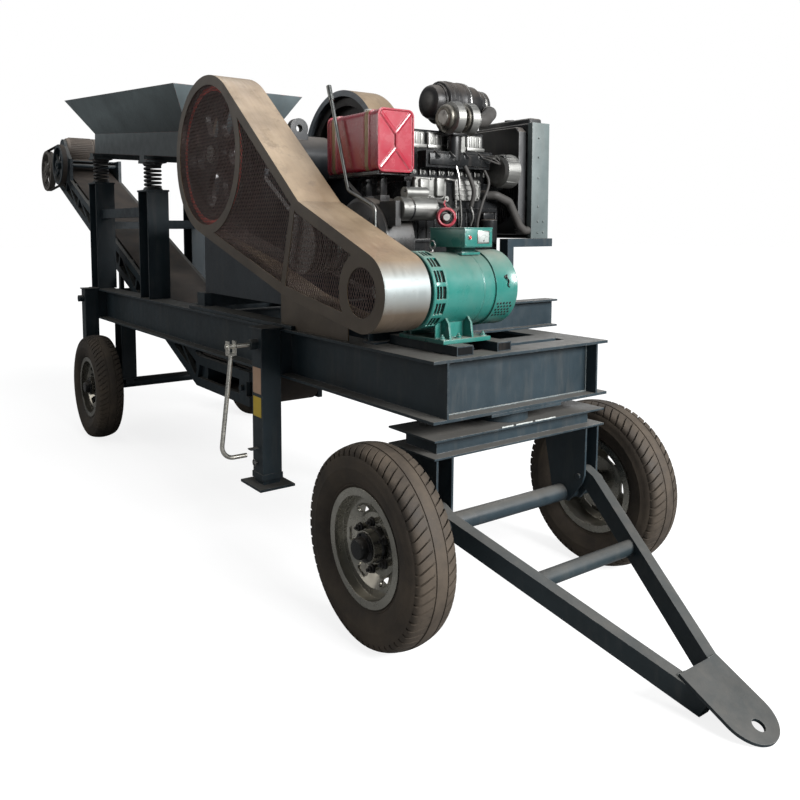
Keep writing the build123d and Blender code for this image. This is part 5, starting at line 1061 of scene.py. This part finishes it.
def turbo():
    """The turbocharger: a scroll with its outlet, a clamped middle and the intake mouth."""
    middle = (-0.45, 0, 2.095)
    turns = 30
    scroll = Shape(*middle)
    for mid_y, size in ((0.06, 0.9), (0.186, 1)):
        loops = []
        for k in range(turns + 1):
            share = k / turns
            angle = radians(-70 + 330 * share)
            thick = (0.016 + 0.012 * share) * size
            out = Vector((cos(angle), 0, sin(angle)))
            centre = out * 0.046 * size + mid_y * y_axis
            loops.append([centre + thick * (cos(a) * out + sin(a) * y_axis) for a in evenly(14)])
        scroll.rings(loops)
        scroll.lathe((0, mid_y, 0), y_axis, [(0.04, -0.018), (0.046, 0), (0.04, 0.018)], 30)
    scroll.lathe((0, 0.126, 0), y_axis, [
        (0.044, -0.04), (0.044, -0.028), (0.031, -0.022), (0.031, 0.02), (0.06, 0.024), (0.064, 0.028),
        (0.064, 0.036)], 36)
    for x, z, _ in spread(8, 0.056):
        scroll.bolt((x, 0.15, z), -y_axis, 0.009, washer=False)
    scroll.hoop(here, y_axis, [
        (0.026, 0.206), (0.034, 0.206), (0.034, 0.236), (0.037, 0.238), (0.026, 0.238)], 28)
    turbo_iron = steel("turbo iron", (0.125, 0.118, 0.102), rough=0.44, rust=0.2,
                       rust_colour=(0.05, 0.036, 0.026))
    scroll.piece("turbo_scrolls", turbo_iron)
    elbow = Shape(*middle)
    elbow.tube(curve_through([
        (0, 0.236, 0), (-0.005, 0.3, 0.006), (-0.04, 0.355, 0.03), (-0.08, 0.41, 0.055),
        (-0.125, 0.43, 0.066)], 7), 0.034, 20)
    elbow.piece("intake_elbow", "hose_rubber")
    clips = Shape(*middle)
    for spot, aim in (((0, 0.246, 0), y_axis), ((-0.095, 0.417, 0.058), (-0.8, 0.45, 0.2))):
        clips.hoop(spot, aim, [(0.0345, -0.006), (0.036, -0.006), (0.036, 0.006), (0.0345, 0.006)], 30)
        u, v = across(aim)
        clips.bolt(Vector(spot) + u * 0.037, v, 0.008, washer=False)
    clips.piece("intake_clips", "bright_steel")


def alternator():
    """The alternator: slotted end frames round a laminated core, through bolts and a grooved pulley."""
    middle = (-0.41, 0, 1.86)
    shape = Shape(*middle)
    shape.lathe(here, y_axis, [
        (0.028, 0.346), (0.032, 0.352), (0.058, 0.354), (0.07, 0.36), (0.0775, 0.372), (0.079, 0.38),
        (0.0735, 0.381), (0.0735, 0.406), (0.0805, 0.407), (0.0815, 0.42), (0.074, 0.434),
        (0.06, 0.4395)], 48)
    for x, z, turn in spread(12, 0.048):
        shape.block((x, 0.3535, z), (0.024, 0.006, 0.0055), 0.001, (turn, "Y"))
    for x, z, _ in spread(4, 0.0765, 45):
        shape.lathe((x, 0.36, z), y_axis, [(0.006, 0), (0.006, 0.068)], 10)
        shape.bolt((x, 0.36, z), -y_axis, 0.008, washer=False)
    shape.piece("alternator_frames", "engine_alloy")
    dark = Shape(*middle)
    dark.lathe(here, y_axis, [
        (0.03, 0.44), (0.034, 0.4425), (0.025, 0.452), (0.034, 0.4615), (0.03, 0.4655)], 30)
    dark.block((0.028, 0.36, 0.062), (0.03, 0.018, 0.02), 0.004)
    dark.piece("alternator_pulley", "engine_black")


def starter():
    """The starter motor with its solenoid, straps and cable stud."""
    shape = Shape(-0.388, -0.262, 1.672)
    shape.lathe(here, y_axis, [
        (0.04, 0.0005), (0.0515, 0.012), (0.0515, 0.05), (0.0525, 0.052), (0.0525, 0.06), (0.0515, 0.062),
        (0.0515, 0.15), (0.047, 0.156), (0.047, 0.176), (0.04, 0.19)], 40)
    shape.lathe((0, 0, 0.07), y_axis, [
        (0.022, 0.036), (0.0255, 0.042), (0.0255, 0.13), (0.02, 0.15), (0, 0.154)], 28)
    for y in (0.062, 0.118):
        shape.block((0, y, 0.048), (0.034, 0.01, 0.026), 0.003)
    shape.bolt((0.008, 0.037, 0.078), -y_axis, 0.009, stud=0.006)
    shape.piece("starter_body", "engine_black")


def red_ring():
    """The red handwheel-like ring on its stub, as the photograph shows it above the generator."""
    middle = (-0.3, -0.06, 1.634)
    aim = Vector((0.86, -0.5, 0.05)).normalized()
    u, v = across(aim)
    ring = Shape(*middle)
    for offset, radius in ((-0.008, 0.036), (0, 0.04), (0.008, 0.036)):
        ring.tube(circle(aim * offset, radius, u, v, 36), 0.0055, 8)
    ring.tube(curve_through([v * 0.04, v * 0.06 - u * 0.01, v * 0.075 - aim * 0.03], 5), 0.0045, 8)
    ring.piece("red_ring", "tank_red")
    stub = Shape(*middle)
    stub.lathe(-0.09 * aim, aim, [
        (0.026, 0), (0.026, 0.055), (0.02, 0.06), (0.02, 0.095), (0.015, 0.102)], 26)
    stub.piece("ring_stub", "engine_alloy")


rocker_covers()
engine_sides()
pipes()
turbo()
alternator()
starter()
red_ring()


# Small fittings of the chassis
front_web_x = 0.0925
web_reach = 0.4205
web_bottom, web_top = 0.866, 1.082
rail_end_x = 0.11
sleeve_x = -1.092
sleeve_face_y = -0.6
turntable_edge = (0.1445, 0.7925)
drawbar_pin = Vector((0.1, 0, 0.488))
drawbar_slope = radians(25.7)
hitch_root_reach = 0.9105
hitch_half_depth = 0.0425


def bead(shape, start, end, radius=0.0034):
    """A weld bead: a run of overlapping drops of uneven size."""
    start, end = Vector(start), Vector(end)
    count = max(2, int((end - start).length / 0.0045))
    points = []
    for k in range(count + 1):
        sway = Vector((random.uniform(-1, 1), random.uniform(-1, 1), random.uniform(-1, 1))) * radius * 0.16
        points.append(start.lerp(end, k / count) + sway)
    shape.tube(points, radius, 6)


def welds():
    """Weld beads round the front member's web, on the hitch plate's rear edge and along the turntable."""
    dull_weld = paint("weld paint", (0.085, 0.105, 0.11), rough=0.34, dust=0.3, wear=0.6, relief=0.6,
                      grain=260.0)
    bright_weld = paint("bright weld", (0.3, 0.32, 0.31), rough=0.32, dust=0.1, wear=0.4, relief=0.6,
                        grain=260.0)
    shape = Shape()
    edge = front_web_x + 0.002
    for z, radius in ((web_bottom + 0.002, 0.0034), (web_top - 0.002, 0.0028)):
        bead(shape, (edge, -web_reach, z), (edge, web_reach, z), radius)
    for y in (0.002 - web_reach, web_reach - 0.002):
        bead(shape, (edge, y, web_bottom), (edge, y, web_top))
    shape.piece("front_welds", dull_weld, angle=60)

    shape = Shape()
    c, s = cos(drawbar_slope), sin(drawbar_slope)
    root = drawbar_pin + hitch_root_reach * Vector((c, 0, -s)) + hitch_half_depth * Vector((s, 0, c))
    for side in (-1, 1):
        bead(shape, root + side * 0.067 * y_axis, root + side * 0.104 * y_axis, 0.0036)
    shape.piece("hitch_welds", bright_weld, "drawbar", angle=60)

    shape = Shape()
    x, z = turntable_edge
    for near, far in ((-0.14, -0.075), (-0.06, 0.035), (0.05, 0.17)):
        bead(shape, (x, near, z), (x, far, z))
    shape.piece("turntable_welds", bright_weld, "turntable", angle=60)


def chassis_fittings():
    """The rails' open ends, darkened by thin black sheets of painted shade, and the blank patches and the
    clip on the jack sleeve.
    """
    # Thin black sheets just inside the rail ends are painted shade for the open mouths.
    mouths = Shape(rail_end_x, 0, 1.1128)
    for near, far in ((-0.347, -0.263), (-0.134, -0.058)):
        mouths.block((0.0001, (near + far) / 2, 0), (0.0008, far - near - 0.01, 0.0285), 0)
    mouth_painted_shade = paint("shaded mouth", (0.0035, 0.004, 0.0045), rough=0.8, dust=0.05, wear=0.0, shine=0.1)
    mouths.piece("rail_mouths", mouth_painted_shade)

    pale = paint("pale patch", (0.42, 0.27, 0.18), rough=0.45, dust=0.3, wear=0.2, variety=0.25)
    yellow = paint("yellow patch", (0.52, 0.36, 0.03), rough=0.45, dust=0.3, wear=0.2, variety=0.15)
    for name, low_z, high_z, finish in (("upper", 0.775, 0.904, pale), ("lower", 0.658, 0.758, yellow)):
        patch = Shape(sleeve_x, sleeve_face_y, (low_z + high_z) / 2)
        patch.block((0, -0.0003, 0), (0.086, 0.0008, high_z - low_z), 0)
        patch.piece(f"blank_patch_{name}", finish)

    clip = Shape(sleeve_x - 0.012, sleeve_face_y, 0.425)
    clip.lathe(here, -y_axis, [(0.0085, 0), (0.0085, 0.012), (0.0065, 0.014)], 16)
    clip.tube(circle((0, -0.01425, 0), 0.017), 0.0022, 6)
    clip.piece("sleeve_clip", "bright_steel")


welds()
chassis_fittings()


# Floor, backdrop and lamps
def lay_floor():
    """A pale floor that keeps its shadows and glows for the camera, more so far away."""
    half = 60.0
    mesh = bpy.data.meshes.new("floor")
    corners = [(-half, -half, 0), (half, -half, 0), (half, half, 0), (-half, half, 0)]
    mesh.from_pydata(corners, [], [(0, 1, 2, 3)])
    floor = bpy.data.objects.new("floor", mesh)
    scene.collection.objects.link(floor)
    material = bpy.data.materials.new("pale floor")
    material.use_nodes = True
    tree = material.node_tree
    tree.nodes.clear()
    place = add_node(tree, "ShaderNodeTexCoord").outputs["Object"]
    reach = add_node(tree, "ShaderNodeVectorMath", {0: place}, operation="LENGTH").outputs["Value"]
    fade = add_node(tree, "ShaderNodeMapRange",
                    {"Value": reach, "From Min": 3.5, "From Max": 9.0, "To Min": 0.84})
    seen = add_node(tree, "ShaderNodeLightPath").outputs["Is Camera Ray"]
    level = add_node(tree, "ShaderNodeMath", {0: seen, 1: fade.outputs["Result"]}, operation="MULTIPLY")
    glow = add_node(tree, "ShaderNodeEmission", {"Color": (1, 1, 1, 1), "Strength": level.outputs[0]})
    diffuse = add_node(tree, "ShaderNodeBsdfDiffuse", {"Color": (0.22, 0.22, 0.22, 1)})
    both = add_node(tree, "ShaderNodeAddShader", {0: diffuse.outputs[0], 1: glow.outputs[0]})
    add_node(tree, "ShaderNodeOutputMaterial", {"Surface": both.outputs[0]})
    mesh.materials.append(material)


def backdrop():
    """A faint blue-white sky for light, and plain white where the camera sees past the floor."""
    world = bpy.data.worlds.new("studio")
    scene.world = world
    world.use_nodes = True
    tree = world.node_tree
    sky = tree.nodes["Background"]
    sky.inputs["Color"].default_value = (0.92, 0.96, 1.0, 1)
    sky.inputs["Strength"].default_value = 0.25
    rays = add_node(tree, "ShaderNodeLightPath").outputs
    seen = add_node(tree, "ShaderNodeMath", {0: rays["Is Camera Ray"], 1: rays["Is Transmission Ray"]},
                    operation="MAXIMUM")
    plain = add_node(tree, "ShaderNodeBackground", {"Color": (1, 1, 1, 1)})
    mixed = add_node(tree, "ShaderNodeMixShader",
                     {0: seen.outputs[0], 1: sky.outputs[0], 2: plain.outputs[0]})
    tree.links.new(mixed.outputs[0], tree.nodes["World Output"].inputs["Surface"])


def lamp(name, place, aim, size, watts, colour=(1, 1, 1)):
    data = bpy.data.lights.new(name, "AREA")
    data.shape = "RECTANGLE"
    data.size, data.size_y = size
    data.energy = watts
    data.color = colour
    thing = bpy.data.objects.new(name, data)
    thing.location = place
    thing.rotation_euler = (Vector(aim) - Vector(place)).to_track_quat("-Z", "Y").to_euler()
    scene.collection.objects.link(thing)


lay_floor()
backdrop()
lamp("key", (10.0, 1.5, 4.6), (1.0, 0.0, 0.9), (5.0, 3.0), 2100)
lamp("fill", (-4.0, -8.0, 4.5), (0.0, 0.0, 1.0), (6.0, 3.0), 190, (1.0, 0.97, 0.92))
lamp("roof", (0.5, 0.5, 7.5), (0.5, 0.0, 0.0), (9.0, 4.0), 320)
lamp("back", (-3.0, 8.0, 5.0), (0.0, 0.0, 1.2), (6.0, 3.0), 120)
